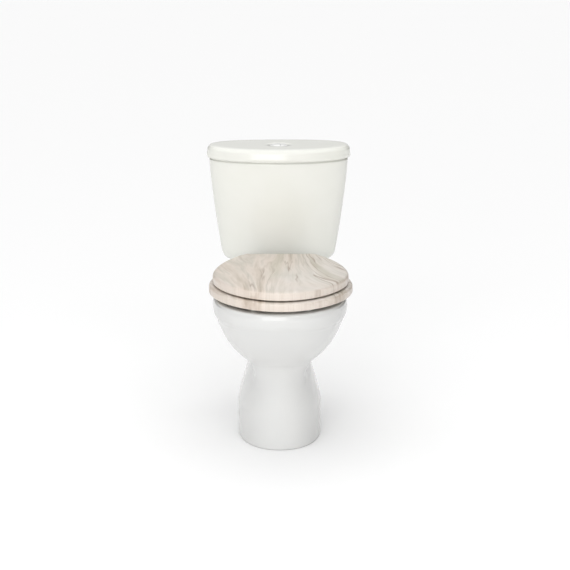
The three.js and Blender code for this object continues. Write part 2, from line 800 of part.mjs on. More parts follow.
function fillValveHead() {
  const cap = turned(
    [
      [0, fillHeadFoot + touch],
      [19, fillHeadFoot + touch],
      [19, fillHeadFoot + 16],
      [15, fillHeadFoot + 20],
      [0, fillHeadFoot + 20],
    ],
    fillValveX,
    valveY,
    20,
  );
  const ears = [-1, 1].map((face) => {
    const inner = valveY + face * 4;
    const outer = valveY + face * 7;
    return block(
      [floatArmPivotX - 3, Math.min(inner, outer), fillHeadFoot + 12],
      [floatArmPivotX + 3, Math.max(inner, outer), floatArmZ + 4],
    );
  });
  return cut(join(cap, ...ears), trunnion(2.3, 30, floatArmPivotX, floatArmZ));
}

const floatRodX = floatArmPivotX + floatArmReach;

function floatArm() {
  const beam = block([floatArmPivotX - 3, valveY - 3, floatArmZ - 2], [floatRodX - 3, valveY + 3, floatArmZ + 2]);
  const fork = block([floatRodX - 4, valveY + 3.5, floatArmZ - 2], [floatRodX + 4, valveY + 6.5, floatArmZ + 2]);
  const web = block([floatRodX - 7, valveY - 3, floatArmZ - 2], [floatRodX - 3, valveY + 6.5, floatArmZ + 2]);
  return join(beam, fork, web, trunnion(2, 14, floatArmPivotX, floatArmZ));
}

function fillFloat() {
  const ringFloat = turned(
    [
      [fillTailRadius + 2, floatFoot],
      [floatRadius, floatFoot],
      [floatRadius, floatFoot + floatHeight - 4],
      [floatRadius - 4, floatFoot + floatHeight],
      [fillTailRadius + 2, floatFoot + floatHeight],
      [fillTailRadius + 2, floatFoot],
    ],
    fillValveX,
    valveY,
    24,
  );
  const lug = block(
    [fillValveX + floatRadius - 4, valveY - 6, floatFoot + floatHeight - 14],
    [floatRodX + 6, valveY + 6, floatFoot + floatHeight - 4],
  );
  return cut(join(ringFloat, lug), rod(2.4, floatFoot, floatFoot + floatHeight + 5, floatRodX, valveY, 10));
}

const floatRod = () => rod(2, floatFoot + floatHeight - 30, floatArmZ + 8, floatRodX, valveY, 10);

// ---- Fasteners and seals ----

// A nut with two wings, threaded on an upright stud.
function wingNut(x, y, top, boreRadius) {
  const body = ring(9, boreRadius + touch, top - 11, top, x, y, 16);
  const wings = cut(
    block([x - 1.5, y - 17, top - 19], [x + 1.5, y + 17, top - 4]),
    rod(boreRadius + 2, top - 30, top + 5, x, y, 16),
  );
  return join(body, wings);
}

function cisternBolt(x) {
  const headFoot = tankFloor + 6;
  return join(
    rod(cisternBoltRadius, shelfUnderside - 26, headFoot + 1, x, valveY, 12),
    rod(9, headFoot, headFoot + 6, x, valveY, 6),
  );
}

const coneWasher = (x) =>
  turned(
    [
      [cisternBoltRadius + touch, tankFloor + touch],
      [12, tankFloor + touch],
      [9.5, tankFloor + 6 - touch],
      [cisternBoltRadius + touch, tankFloor + 6 - touch],
      [cisternBoltRadius + touch, tankFloor + touch],
    ],
    x,
    valveY,
    16,
  );

// ---- Seat ----

// Half of the seat's plan is two arcs: a pointed round front, and sides that draw in to a flat back.
function seatShape(halfWidth, frontY, backY) {
  const front = seatMiddleY - frontY;
  const back = backY - seatMiddleY;
  const flatHalf = halfWidth / 2;
  const shape = new THREE.Shape();
  const frontArc = (side) => [side * halfWidth * 0.51, frontY, side * halfWidth, seatMiddleY - front * 0.51];
  const cornerX = flatHalf + (halfWidth - flatHalf) * 0.19;
  shape.moveTo(0, frontY);
  shape.bezierCurveTo(...frontArc(1), halfWidth, seatMiddleY);
  shape.bezierCurveTo(halfWidth, seatMiddleY + back * 0.5, cornerX, backY, flatHalf, backY);
  shape.lineTo(-flatHalf, backY);
  shape.bezierCurveTo(-cornerX, backY, -halfWidth, seatMiddleY + back * 0.5, -halfWidth, seatMiddleY);
  const [nearX, nearY, farX, farY] = frontArc(-1);
  shape.bezierCurveTo(farX, farY, nearX, nearY, 0, frontY);
  return shape;
}

function seatRing() {
  const shape = seatShape(ringHalfWidth, seatFrontY, seatFrontY + ringLength);
  const opening = {
    side: ringOpeningHalfWidth,
    front: ringOpeningFrontLength,
    back: ringOpeningBackLength,
    frontSquare: 2,
    backSquare: 2.3,
  };
  shape.holes.push(new THREE.Path(outlineShape(opening, seatMiddleY, 32).getPoints()));
  return plate(shape, ringUnderside, ringTop, seatEdge);
}

const seatLid = () =>
  plate(
    seatShape(seatLidHalfWidth, seatLidFrontY, seatLidFrontY + seatLidLength),
    seatLidUnderside,
    seatLidUnderside + seatLidThickness,
    seatEdge,
  );

// A soft pad on the middle of the rim or of the ring, turn degrees round from the front.
function buffer(turn, from, to, side, front, back) {
  const [x, y] = outlinePoint(THREE.MathUtils.degToRad(turn), { side, front, back });
  const profile = [[0, from], [bufferRadius - 1.5, from], [bufferRadius, from + 1.5], [bufferRadius, to], [0, to]];
  return turned(profile, x, seatMiddleY + y, 14);
}

const ringBuffer = (turn) =>
  buffer(turn, rimHeight + touch, ringUnderside - touch, rimHalfWidth - rimWidth / 2 - 4, 180, 180);

function lidBuffer(turn) {
  const side = (ringHalfWidth + ringOpeningHalfWidth) / 2;
  return buffer(turn, ringTop + touch, seatLidUnderside - touch, side, 180, 180);
}

// ---- Seat hinges ----

const hingeWasherTop = rimHeight + touch + 1.5;

// The pillar that stands on the shelf and carries the hinge pin.
function hingePost(x) {
  const flange = turned(
    [
      [0, hingeWasherTop + touch],
      [15, hingeWasherTop + touch],
      [15, hingeWasherTop + 1.4],
      [postWidth / 2 + 1, hingeWasherTop + 2.8],
      [postWidth / 2, hingeWasherTop + 6],
      [postWidth / 2, hingeAxisHeight - 2],
      [0, hingeAxisHeight - 2],
    ],
    x,
    hingeAxisY,
    20,
  );
  const eye = rodAlongX(knuckleRadius, x - postWidth / 2, x + postWidth / 2, hingeAxisY, hingeAxisHeight, 20);
  return cut(
    join(flange, eye),
    rodAlongX(hingePinRadius + touch, x - 20, x + 20, hingeAxisY, hingeAxisHeight, 16),
    rod(seatBoltRadius + touch, hingeWasherTop - 5, hingeAxisHeight - knuckleRadius - 3, x, hingeAxisY, 12),
  );
}

const hingeWasher = (x) => ring(16, seatBoltRadius + touch, rimHeight + touch, hingeWasherTop, x, hingeAxisY);

function seatBolt(x) {
  const top = hingeAxisHeight - knuckleRadius - 5;
  return rod(seatBoltRadius, shelfUnderside - 36, top, x, hingeAxisY, 12);
}

function hingePin(x) {
  const reach = postWidth / 2 + knuckleLength + 3;
  return rodAlongX(hingePinRadius, x - reach, x + reach, hingeAxisY, hingeAxisHeight, 16);
}

// The space of one knuckle beside the post, on the inner side (-1 towards the middle) or the outer side.
function knuckleSpan(x, outwards) {
  const direction = Math.sign(x) * outwards;
  const near = x + direction * (postWidth / 2 + 1);
  const far = near + direction * knuckleLength;
  return [Math.min(near, far), Math.max(near, far)];
}

function knuckle([from, to]) {
  return rodAlongX(knuckleRadius, from, to, hingeAxisY, hingeAxisHeight, 20);
}

const knuckleBore = ([from, to]) =>
  rodAlongX(hingePinRadius + touch, from - 5, to + 5, hingeAxisY, hingeAxisHeight, 16);

// The ring's arm hangs from the knuckle behind the ring and runs forward under it.
function ringArm(x) {
  const span = knuckleSpan(x, -1);
  const strapTop = ringUnderside - touch;
  const strapFoot = strapTop - 2.8;
  const backY = seatFrontY + ringLength + 1.5;
  const drop = block([span[0], backY, strapFoot], [span[1], backY + 4, hingeAxisHeight]);
  const strap = block([span[0], backY - 48, strapFoot], [span[1], backY + 4, strapTop]);
  return cut(join(knuckle(span), drop, strap), knuckleBore(span));
}

function lidArm(x) {
  const span = knuckleSpan(x, 1);
  const strapTop = seatLidUnderside - touch;
  const strap = block([span[0], hingeAxisY - 62, strapTop - 2.6], [span[1], hingeAxisY - 4, strapTop]);
  return cut(join(knuckle(span), strap), knuckleBore(span));
}

// ---- Floor fixings ----

// The cover cap stands on the outside of the foot, over the screw's hole.
function screwCap(side) {
  const face = footSideX(screwY) + touch;
  const profile = [[0, 0], [8.5, 0], [8, 2], [5, 3.6], [0, 4]];
  const points = profile.map(([radius, height]) => new THREE.Vector2(radius, height));
  const dome = new THREE.LatheGeometry(points, 16).rotateZ(-Math.PI / 2);
  if (side < 0) dome.rotateZ(Math.PI);
  return solid(dome.translate(side * face, screwY, screwHeight));
}

// The outer half width of the foot at a place along its length, behind its widest place.
function footSideX(y) {
  return footHalfWidth * (1 - (Math.max(y - 9, 0) / footBackY) ** 2.6) ** (1 / 2.6);
}

// ---- The assembly ----

const toilet = new THREE.Group();

toilet.add(piece("pan_rim", panRim(), china));
toilet.add(piece("pan_bowl", panBowl(), china));
toilet.add(piece("pan_trap", panTrap(), china));
toilet.add(piece("pan_foot", panFoot(), china));
toilet.add(piece("pan_inlet", panInlet(), china));
toilet.add(piece("pan_shelf", panShelf(), china));
toilet.add(piece("cistern_body", cisternBody(), china));

const lidGroup = new THREE.Group();
lidGroup.add(piece("cistern_lid", cisternLid(), china));
lidGroup.add(piece("button_housing", buttonHousing(), whitePlastic));
lidGroup.add(piece("button_nut", buttonNut(), greyPlastic));
lidGroup.add(piece("full_flush_button", buttonSegment(-1), whitePlastic));
lidGroup.add(piece("half_flush_button", buttonSegment(1), whitePlastic));
lidGroup.add(piece("full_flush_rod", pushRod(fullRodX), greyPlastic));
lidGroup.add(piece("half_flush_rod", pushRod(halfRodX), greyPlastic));
toilet.add(lidGroup);

const flushValve = new THREE.Group();
flushValve.add(piece("valve_base", valveBase(), whitePlastic));
flushValve.add(piece("valve_tower", valveTower(), whitePlastic));
flushValve.add(piece("valve_core", valveCore(), bluePlastic));
flushValve.add(piece("valve_seal", valveSeal(), rubber));
const tailHole = valveTailRadius + touch;
const valveWasher = ring(40, tailHole, tankFloor + touch, tankFloor + 2.7, 0, valveY, 24);
flushValve.add(piece("valve_washer", valveWasher, rubber));
const backNut = nut(38, tailHole, rimHeight + 1, cisternUnderside - touch, 0, valveY);
flushValve.add(piece("valve_backnut", backNut, greyPlastic));
const couplingFoot = rimHeight - seatingDepth + touch;
const couplingWasher = ring(seatingRadius - 1, 39, couplingFoot, cisternUnderside - touch, 0, valveY, 24);
flushValve.add(piece("coupling_washer", couplingWasher, foam));
flushValve.add(piece("flush_rocker", flushRocker(), greyPlastic));
flushValve.add(piece("half_flush_latch", halfFlushLatch(), greyPlastic));
toilet.add(flushValve);

const fillValve = new THREE.Group();
const fillHole = fillTailRadius + touch;
fillValve.add(piece("fill_valve_body", fillValveBody(), whitePlastic));
const fillWasher = ring(14, fillHole, tankFloor + touch, tankFloor + 2.7, fillValveX, valveY, 16);
fillValve.add(piece("fill_washer", fillWasher, rubber));
const fillNut = nut(13.5, fillHole, cisternUnderside - 9, cisternUnderside - touch, fillValveX, valveY, 16, 6);
fillValve.add(piece("fill_backnut", fillNut, whitePlastic));
fillValve.add(piece("fill_valve_head", fillValveHead(), greyPlastic));
fillValve.add(piece("fill_float", fillFloat(), whitePlastic));
fillValve.add(piece("float_rod", floatRod(), brass));
fillValve.add(piece("float_arm", floatArm(), greyPlastic));
toilet.add(fillValve);

const sides = [["left", -1], ["right", 1]];
for (const [name, side] of sides) {
  const boltX = (side * cisternBoltSpacing) / 2;
  toilet.add(piece(`cistern_bolt_${name}`, cisternBolt(boltX), steel));
  toilet.add(piece(`cone_washer_${name}`, coneWasher(boltX), rubber));
  const cisternWingNut = wingNut(boltX, valveY, shelfUnderside - touch, cisternBoltRadius);
  toilet.add(piece(`cistern_wing_nut_${name}`, cisternWingNut, steel));
  toilet.add(piece(`screw_cap_${name}`, screwCap(side), whitePlastic));
}

const seat = new THREE.Group();
seat.position.x = seatOffset;
seat.add(piece("seat_ring", seatRing(), woodFilm));
seat.add(piece("seat_lid", seatLid(), woodFilm));
for (const [name, side] of sides) {
  const x = (side * hingeSpacing) / 2;
  seat.add(piece(`ring_buffer_front_${name}`, ringBuffer(side * 28), clearPad));
  seat.add(piece(`ring_buffer_rear_${name}`, ringBuffer(side * 112), clearPad));
  seat.add(piece(`lid_buffer_${name}`, lidBuffer(side * 38), clearPad));
  seat.add(piece(`hinge_post_${name}`, hingePost(x), plated));
  seat.add(piece(`hinge_washer_${name}`, hingeWasher(x), clearPad));
  seat.add(piece(`hinge_pin_${name}`, hingePin(x), plated));
  seat.add(piece(`ring_arm_${name}`, ringArm(x), plated));
  seat.add(piece(`lid_arm_${name}`, lidArm(x), plated));
  seat.add(piece(`seat_bolt_${name}`, seatBolt(x), steel));
  const seatNut = wingNut(x, hingeAxisY, shelfUnderside - touch, seatBoltRadius);
  seat.add(piece(`seat_nut_${name}`, seatNut, whitePlastic));
}
toilet.add(seat);

export default toilet;
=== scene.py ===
import json
import math

import bmesh
import bpy
import numpy as np
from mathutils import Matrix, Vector


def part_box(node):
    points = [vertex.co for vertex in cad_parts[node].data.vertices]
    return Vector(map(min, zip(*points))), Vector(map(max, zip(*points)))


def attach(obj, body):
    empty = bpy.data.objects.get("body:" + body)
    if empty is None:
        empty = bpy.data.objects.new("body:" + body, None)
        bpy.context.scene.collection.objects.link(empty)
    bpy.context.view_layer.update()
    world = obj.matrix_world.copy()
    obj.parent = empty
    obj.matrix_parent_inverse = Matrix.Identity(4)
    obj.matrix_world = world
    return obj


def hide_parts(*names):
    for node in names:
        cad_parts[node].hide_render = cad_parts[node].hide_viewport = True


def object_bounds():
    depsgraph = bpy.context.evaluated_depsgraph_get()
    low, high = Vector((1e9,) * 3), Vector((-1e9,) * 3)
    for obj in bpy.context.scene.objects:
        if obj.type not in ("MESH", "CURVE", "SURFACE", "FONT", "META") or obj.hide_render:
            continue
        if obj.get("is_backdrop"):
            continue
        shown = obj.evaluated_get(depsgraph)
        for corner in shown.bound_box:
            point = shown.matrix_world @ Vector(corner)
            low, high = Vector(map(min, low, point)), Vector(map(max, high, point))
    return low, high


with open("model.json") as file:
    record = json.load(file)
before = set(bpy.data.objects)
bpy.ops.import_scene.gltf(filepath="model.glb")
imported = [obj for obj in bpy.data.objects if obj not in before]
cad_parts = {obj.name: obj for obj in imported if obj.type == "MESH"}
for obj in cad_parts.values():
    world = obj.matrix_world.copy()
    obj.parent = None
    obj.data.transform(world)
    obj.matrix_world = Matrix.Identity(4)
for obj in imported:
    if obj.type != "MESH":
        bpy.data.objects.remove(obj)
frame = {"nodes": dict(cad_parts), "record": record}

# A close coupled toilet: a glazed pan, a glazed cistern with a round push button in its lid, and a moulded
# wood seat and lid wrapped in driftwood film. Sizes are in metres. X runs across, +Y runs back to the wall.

cad_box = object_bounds()

MM = 0.001
TOUCH = 0.3 * MM
FULL_TURN = 2 * math.pi


# ---- Lines and outlines ----

def spline(knots, values, at):
    """The curve of least bending through the knots: cubic pieces that share slope and curvature, with no
    curvature at either end."""
    knots, values, at = (np.asarray(item, float) for item in (knots, values, at))
    step = np.diff(knots)
    chord = np.diff(values) / step
    count = len(knots)
    rows = np.eye(count)
    right = np.zeros(count)
    inner = np.arange(1, count - 1)
    rows[inner, inner - 1] = step[:-1]
    rows[inner, inner] = 2 * (step[:-1] + step[1:])
    rows[inner, inner + 1] = step[1:]
    right[inner] = 6 * np.diff(chord)
    bend = np.linalg.solve(rows, right)
    place = np.clip(np.searchsorted(knots, at, side="right") - 1, 0, count - 2)
    gap = step[place]
    near = at - knots[place]
    far = gap - near
    curve = (bend[place] * far**3 + bend[place + 1] * near**3) / (6 * gap)
    line = (values[place] / gap - bend[place] * gap / 6) * far
    return curve + line + (values[place + 1] / gap - bend[place + 1] * gap / 6) * near


def along(points, count):
    """count points at equal steps of length round a closed line of points."""
    closed = np.vstack([points, points[:1]])
    length = np.concatenate([[0], np.cumsum(np.linalg.norm(np.diff(closed, axis=0), axis=1))])
    at = np.linspace(0, length[-1], count, endpoint=False)
    return np.stack([np.interp(at, length, closed[:, axis]) for axis in (0, 1)], axis=-1)


def oval(side, front, back, front_square=2.0, back_square=2.0, middle=0.0, count=720):
    """A closed outline from its front round to the right. Across is side times sin, along is front or back
    times -cos, each raised to 2 over its squareness: 2 is an ellipse, and more nears a rectangle."""
    turn = np.linspace(0, FULL_TURN, count, endpoint=False)
    across, ahead = np.sin(turn), -np.cos(turn)
    power = 2 / np.where(ahead < 0, front_square, back_square)
    x = side * np.sign(across) * np.abs(across) ** power
    y = np.where(ahead < 0, front, back) * np.sign(ahead) * np.abs(ahead) ** power
    return np.stack([x, middle + y], axis=-1)


def circle(radius, x, y, count):
    turn = np.linspace(0, FULL_TURN, count, endpoint=False)
    return np.stack([x + radius * np.sin(turn), y - radius * np.cos(turn)], axis=-1)


def bezier(start, out, into, end, count=80):
    """A cubic Bezier arc without its last point: the four points weighted by the powers of t and 1 - t."""
    t = np.linspace(0, 1, count, endpoint=False)[:, None]
    start, out, into, end = (np.asarray(item, float) for item in (start, out, into, end))
    return start * (1 - t) ** 3 + 3 * out * t * (1 - t) ** 2 + 3 * into * t**2 * (1 - t) + end * t**3


def drawn_in(outline, distance):
    """The outline moved inwards along its own normals."""
    tangent = np.roll(outline, -1, axis=0) - np.roll(outline, 1, axis=0)
    tangent /= np.linalg.norm(tangent, axis=1)[:, None]
    return outline + distance * np.stack([-tangent[:, 1], tangent[:, 0]], axis=-1)


def shrunk(outline, share):
    """The outline scaled by share about its own middle."""
    middle = outline.mean(axis=0)
    return middle + (outline - middle) * share


def quarter(radius, steps=6):
    """A quarter round as (inset, rise) pairs, from its foot on the flat to where it meets the side."""
    turn = np.linspace(0, math.pi / 2, steps)
    return [(radius * (1 - math.sin(t)), radius * (1 - math.cos(t))) for t in turn]


# ---- Surfaces ----

def level(outline, z):
    return np.column_stack([outline, np.full(len(outline), z)])


def skin(name, rows, finish, looped=False, sharp=None):
    """A closed mesh over a grid of rows of points. Each row runs round, and the rows join in order. The last
    joins the first where looped, and otherwise a fan from its middle closes each end."""
    rows = np.asarray(rows, float)
    count, around = rows.shape[:2]
    points = rows.reshape(-1, 3)
    index = np.arange(count * around).reshape(count, around)
    low, high = (index, np.roll(index, -1, axis=0)) if looped else (index[:-1], index[1:])
    turn = lambda grid: np.roll(grid, -1, axis=1)
    quads = np.stack([low, turn(low), turn(high), high], axis=-1).reshape(-1, 4)
    corners = np.concatenate([quads[:, [0, 1, 2]], quads[:, [0, 2, 3]]])
    faces = quads.tolist()
    if not looped:
        points = np.vstack([points, rows[0].mean(axis=0), rows[-1].mean(axis=0)])
        first = np.full(around, count * around)
        foot = np.stack([first, np.roll(index[0], -1), index[0]], axis=-1)
        head = np.stack([first + 1, index[-1], np.roll(index[-1], -1)], axis=-1)
        corners = np.concatenate([corners, foot, head])
        faces += foot.tolist() + head.tolist()
    a, b, c = (points[corners[:, place]] for place in range(3))
    if np.einsum("ij,ij->i", a, np.cross(b, c)).sum() < 0:
        faces = [face[::-1] for face in faces]
    mesh = bpy.data.meshes.new(name)
    mesh.from_pydata(points.tolist(), [], faces)
    return placed(name, mesh, finish, sharp)


def placed(name, mesh, finish, sharp=None):
    """The mesh as a smooth shaded object, with edges sharper than sharp degrees kept crisp."""
    mesh.update()
    mesh.shade_smooth()
    if sharp:
        mesh.set_sharp_from_angle(angle=math.radians(sharp))
    mesh.materials.clear()
    mesh.materials.append(finish)
    piece = bpy.data.objects.new(name, mesh)
    bpy.context.scene.collection.objects.link(piece)
    return piece


def note_facing(piece):
    """Stores how far each vertex of the closed piece faces up, from -1 to 1, as its attribute facing."""
    mesh = piece.data
    normals = np.empty(len(mesh.vertices) * 3)
    mesh.vertex_normals.foreach_get("vector", normals)
    mesh.attributes.new("facing", "FLOAT", "POINT").data.foreach_set("value", normals[2::3].astype(np.float32))


def stack(name, rows, finish, looped=False, sharp=None):
    """A skin over pairs of an outline and its height."""
    return skin(name, [level(outline, z) for outline, z in rows], finish, looped, sharp)


def turned(name, profile, x, y, finish, around=72, looped=True, sharp=35):
    """A profile of (radius, height) pairs carried round an upright axis."""
    rows = [(circle(max(radius, 1e-6), x, y, around), z) for radius, z in profile]
    return stack(name, rows, finish, looped, sharp)


def tube_along(path, radius, around=40):
    """Rings of a round tube along a line of (y, z) points in the middle plane, square to the line."""
    path = np.asarray(path, float)
    ahead = np.gradient(path, axis=0)
    ahead /= np.linalg.norm(ahead, axis=1)[:, None]
    turn = np.linspace(0, FULL_TURN, around, endpoint=False)
    x = np.broadcast_to(radius * np.cos(turn), (len(path), around))
    up = radius * np.sin(turn)
    y = path[:, :1] - ahead[:, 1:] * up
    z = path[:, 1:] + ahead[:, :1] * up
    return np.stack([x, y, z], axis=-1)


def drilled(piece, cutters):
    """The piece with the cutters' solids taken out of it, applied to its mesh."""
    for cutter in cutters:
        boolean = piece.modifiers.new(cutter.name, "BOOLEAN")
        boolean.operation = "DIFFERENCE"
        boolean.solver = "EXACT"
        boolean.object = cutter
    bpy.context.view_layer.update()
    shaped = piece.evaluated_get(bpy.context.evaluated_depsgraph_get())
    mesh = bpy.data.meshes.new_from_object(shaped)
    piece.modifiers.clear()
    piece.data = mesh
    for cutter in cutters:
        bpy.data.objects.remove(cutter)
    mesh.shade_smooth()
    mesh.set_sharp_from_angle(angle=math.radians(38))
    return piece


# ---- Shader maths ----

class Wire:
    """A socket of a node. Arithmetic on it adds Math nodes to its material."""

    def __init__(self, tree, socket):
        self.tree = tree
        self.socket = socket

    def math(self, operation, *others):
        made = self.tree.nodes.new("ShaderNodeMath")
        made.operation = operation
        for place, value in enumerate((self, *others)):
            plug(self.tree, made.inputs[place], value)
        return Wire(self.tree, made.outputs[0])

    def swapped(self, operation, other):
        made = self.tree.nodes.new("ShaderNodeMath")
        made.operation = operation
        plug(self.tree, made.inputs[0], other)
        plug(self.tree, made.inputs[1], self)
        return Wire(self.tree, made.outputs[0])

    def __add__(self, other):
        return self.math("ADD", other)

    def __radd__(self, other):
        return self.math("ADD", other)

    def __sub__(self, other):
        return self.math("SUBTRACT", other)

    def __rsub__(self, other):
        return self.swapped("SUBTRACT", other)

    def __mul__(self, other):
        return self.math("MULTIPLY", other)

    def __rmul__(self, other):
        return self.math("MULTIPLY", other)

    def __truediv__(self, other):
        return self.math("DIVIDE", other)

    def __rtruediv__(self, other):
        return self.swapped("DIVIDE", other)


def plug(tree, socket, value):
    if isinstance(value, Wire):
        tree.links.new(value.socket, socket)
    elif hasattr(value, "__len__") and len(value) == 3 and socket.type == "RGBA":
        socket.default_value = (*value, 1)
    else:
        socket.default_value = value


class Nodes:
    """A node tree under construction."""

    def __init__(self, tree, shader):
        self.tree = tree
        self.shader = tree.nodes[shader]

    def set(self, socket, value):
        plug(self.tree, self.shader.inputs[socket], value)

    def node(self, kind, output=0, settings=None, sockets=None):
        """A node of that type. Its settings come first, with a ramp's stops under stops, then its sockets."""
        made = self.tree.nodes.new("ShaderNode" + kind)
        for setting, value in (settings or {}).items():
            if setting == "stops":
                ramp = made.color_ramp
                while len(ramp.elements) < len(value):
                    ramp.elements.new(1)
                for element, (place, colour) in zip(ramp.elements, value):
                    element.position = place
                    element.color = (*colour, 1)
            else:
                setattr(made, setting, value)
        for socket, value in (sockets or {}).items():
            plug(self.tree, made.inputs[socket], value)
        return Wire(self.tree, made.outputs[output])

    def place(self):
        return self.node("TexCoord", output=3)

    def axes(self, vector):
        return [self.node("SeparateXYZ", output=axis, sockets={0: vector}) for axis in range(3)]

    def vector(self, x, y, z):
        return self.node("CombineXYZ", sockets={0: x, 1: y, 2: z})

    def noise(self, scale, detail=3.0, roughness=0.5, vector=None, distortion=0.0):
        """Cloudy noise from 0 to 1, with features about 1 / scale metres across."""
        sockets = {"Scale": scale, "Detail": detail, "Roughness": roughness, "Distortion": distortion}
        sockets["Vector"] = vector or self.place()
        return self.node("TexNoise", sockets=sockets)

    def ramp(self, value, low, high):
        """value brought from the range low to high to 0 to 1 with soft ends."""
        settings = {"interpolation_type": "SMOOTHSTEP"}
        return self.node("MapRange", settings=settings, sockets={0: value, 1: low, 2: high, 3: 0.0, 4: 1.0})

    def mix(self, share, a, b, blend="MIX"):
        settings = {"data_type": "RGBA", "blend_type": blend}
        return self.node("Mix", output=2, settings=settings, sockets={0: share, 6: a, 7: b})


class Finish(Nodes):
    """A material under construction: its Principled shader, and the nodes that feed it."""

    def __init__(self, name, **constants):
        self.material = bpy.data.materials.new(name)
        self.material.use_nodes = True
        super().__init__(self.material.node_tree, "Principled BSDF")
        for socket, value in constants.items():
            self.set(socket.replace("_", " ").title().replace("Ior", "IOR"), value)

    def bump(self, height, strength, distance):
        sockets = {"Height": height, "Strength": strength, "Distance": distance}
        self.set("Normal", self.node("Bump", sockets=sockets))


# ---- Finishes ----

def glaze(name, colour, warm):
    """Vitreous china: a thick clear glaze, a little uneven in thickness, over a white body."""
    finish = Finish(name, ior=1.52, coat_roughness=0.03, coat_ior=1.5)
    pooled = finish.noise(7, detail=2)
    clouds = finish.noise(26, detail=4, roughness=0.6)
    tone = finish.mix(finish.ramp(pooled, 0.35, 0.65), colour, warm)
    clouded = [c * 0.985 for c in colour]
    finish.set("Base Color", finish.mix(finish.ramp(clouds, 0.3, 0.75) * 0.25, tone, clouded))
    finish.set("Coat Weight", 0.05 + pooled * 0.06)
    finish.set("Roughness", 0.10 + clouds * 0.05)
    ripple = finish.noise(55, detail=1)
    finish.bump(ripple * 0.7 + finish.noise(420, detail=1) * 0.06, 0.10, 0.0006)
    return finish.material


def driftwood(name):
    """Driftwood film: broad beige, pink grey and khaki bands that fan out towards the front, cut by thin
    grey brown veins and fine pores. Where it wraps over the edge it is paler and shows upright grain."""
    finish = Finish(name, ior=1.48, coat_roughness=0.12)
    x, y, z = finish.axes(finish.place())
    wander = finish.noise(5.5, detail=3)
    shift = (wander - 0.5) * 0.022
    fan = x / (1.15 - y * 1.1)
    lean = finish.ramp(x.math("ABSOLUTE"), 0.0, 0.17) * 0.42 - 0.07
    slope = fan + shift + (y + 0.12) * lean
    stretched = finish.vector(slope, y * 0.08, z * 0.02)
    bands = finish.noise(17, detail=4, roughness=0.58, vector=stretched, distortion=0.15)
    colour = finish.node("ValToRGB", settings={"stops": [
        (0.30, (0.36, 0.29, 0.22)),
        (0.40, (0.56, 0.48, 0.40)),
        (0.46, (0.68, 0.60, 0.53)),
        (0.52, (0.55, 0.50, 0.43)),
        (0.58, (0.70, 0.63, 0.57)),
        (0.70, (0.47, 0.42, 0.33)),
    ]}, sockets={0: bands})
    hazy = finish.noise(11, detail=4, roughness=0.6, vector=finish.vector(slope, y * 0.30, z * 0.05))
    colour = finish.mix(finish.ramp(hazy, 0.45, 0.72) * 0.55, colour, (0.69, 0.665, 0.625))
    pink = finish.noise(8, detail=2, vector=finish.vector(slope + 3, y * 0.35, 0.0))
    colour = finish.mix(finish.ramp(pink, 0.5, 0.72) * 0.5, colour, (0.72, 0.60, 0.53))
    vein_line = finish.noise(30, detail=3, vector=finish.vector(slope, y * 0.06, 0.0), distortion=0.12)
    vein = (1 - finish.ramp((vein_line - 0.47).math("ABSOLUTE"), 0.0, 0.03)) * finish.ramp(hazy, 0.36, 0.60)
    colour = finish.mix(vein * 0.8, colour, (0.30, 0.22, 0.16))
    khaki = 1 - finish.ramp((slope + 0.012).math("ABSOLUTE"), 0.004, 0.019)
    khaki = khaki * finish.ramp(y + wander * 0.12, -0.20, -0.02)
    colour = finish.mix(khaki * 0.55, colour, (0.50, 0.46, 0.36))
    grain = finish.noise(240, detail=3, vector=finish.vector(slope, y * 0.05, 0.0))
    colour = finish.mix(finish.ramp(grain, 0.45, 0.7) * 0.16, colour, (0.42, 0.35, 0.28))
    facing = finish.node("Attribute", output=2, settings={"attribute_name": "facing"})
    upright = 1 - finish.ramp(facing.math("ABSOLUTE"), 0.35, 0.9)
    lines = finish.noise(300, detail=3, vector=finish.vector(x, y, z * 0.03))
    stains = finish.noise(22, detail=3, vector=finish.vector(x, y, z * 0.4), distortion=0.3)
    pale = finish.mix(finish.ramp(lines, 0.4, 0.75) * 0.35, (0.84, 0.75, 0.67), (0.62, 0.50, 0.40))
    pale = finish.mix(finish.ramp(stains, 0.52, 0.68) * 0.7, pale, (0.47, 0.36, 0.27))
    finish.set("Base Color", finish.mix(upright * 0.62, colour, pale))
    finish.set("Coat Weight", 0.25 + hazy * 0.2)
    finish.set("Roughness", 0.36 + grain * 0.14 + bands * 0.06)
    finish.bump(grain * 0.6 + vein * -0.5 + finish.noise(60, detail=2) * 0.3, 0.12, 0.0004)
    return finish.material


def moulding(name, colour, roughness, speckle=0.03, coat=0.0):
    """A plastic or rubber moulding: faint mottling of its colour, and a fine spark-eroded skin."""
    finish = Finish(name, ior=1.46, coat_roughness=0.08)
    mottle = finish.noise(90, detail=3)
    grain = finish.noise(1500, detail=1)
    darker = [c * (1 - 3 * speckle) for c in colour]
    finish.set("Base Color", finish.mix(finish.ramp(mottle, 0.35, 0.7) * 0.6, colour, darker))
    finish.set("Roughness", roughness * 0.85 + mottle * roughness * 0.3)
    finish.set("Coat Weight", coat + mottle * coat * 0.2)
    finish.bump(grain, 0.12, 0.0001)
    return finish.material


def metal(name, colour, roughness, brushed):
    """Plated, rolled or drawn metal: fine lines along one way, and slight handling marks."""
    finish = Finish(name, metallic=1.0)
    x, y, z = finish.axes(finish.place())
    lines = finish.noise(700, detail=2, vector=finish.vector(x * 0.05, y, z))
    marks = finish.noise(40, detail=4, roughness=0.65)
    handled = [c * 0.82 for c in colour]
    finish.set("Base Color", finish.mix(finish.ramp(marks, 0.4, 0.8) * 0.35, colour, handled))
    finish.set("Roughness", roughness + marks * roughness * 0.6 + lines * brushed)
    finish.bump(lines, 0.08 + brushed, 0.00005)
    return finish.material


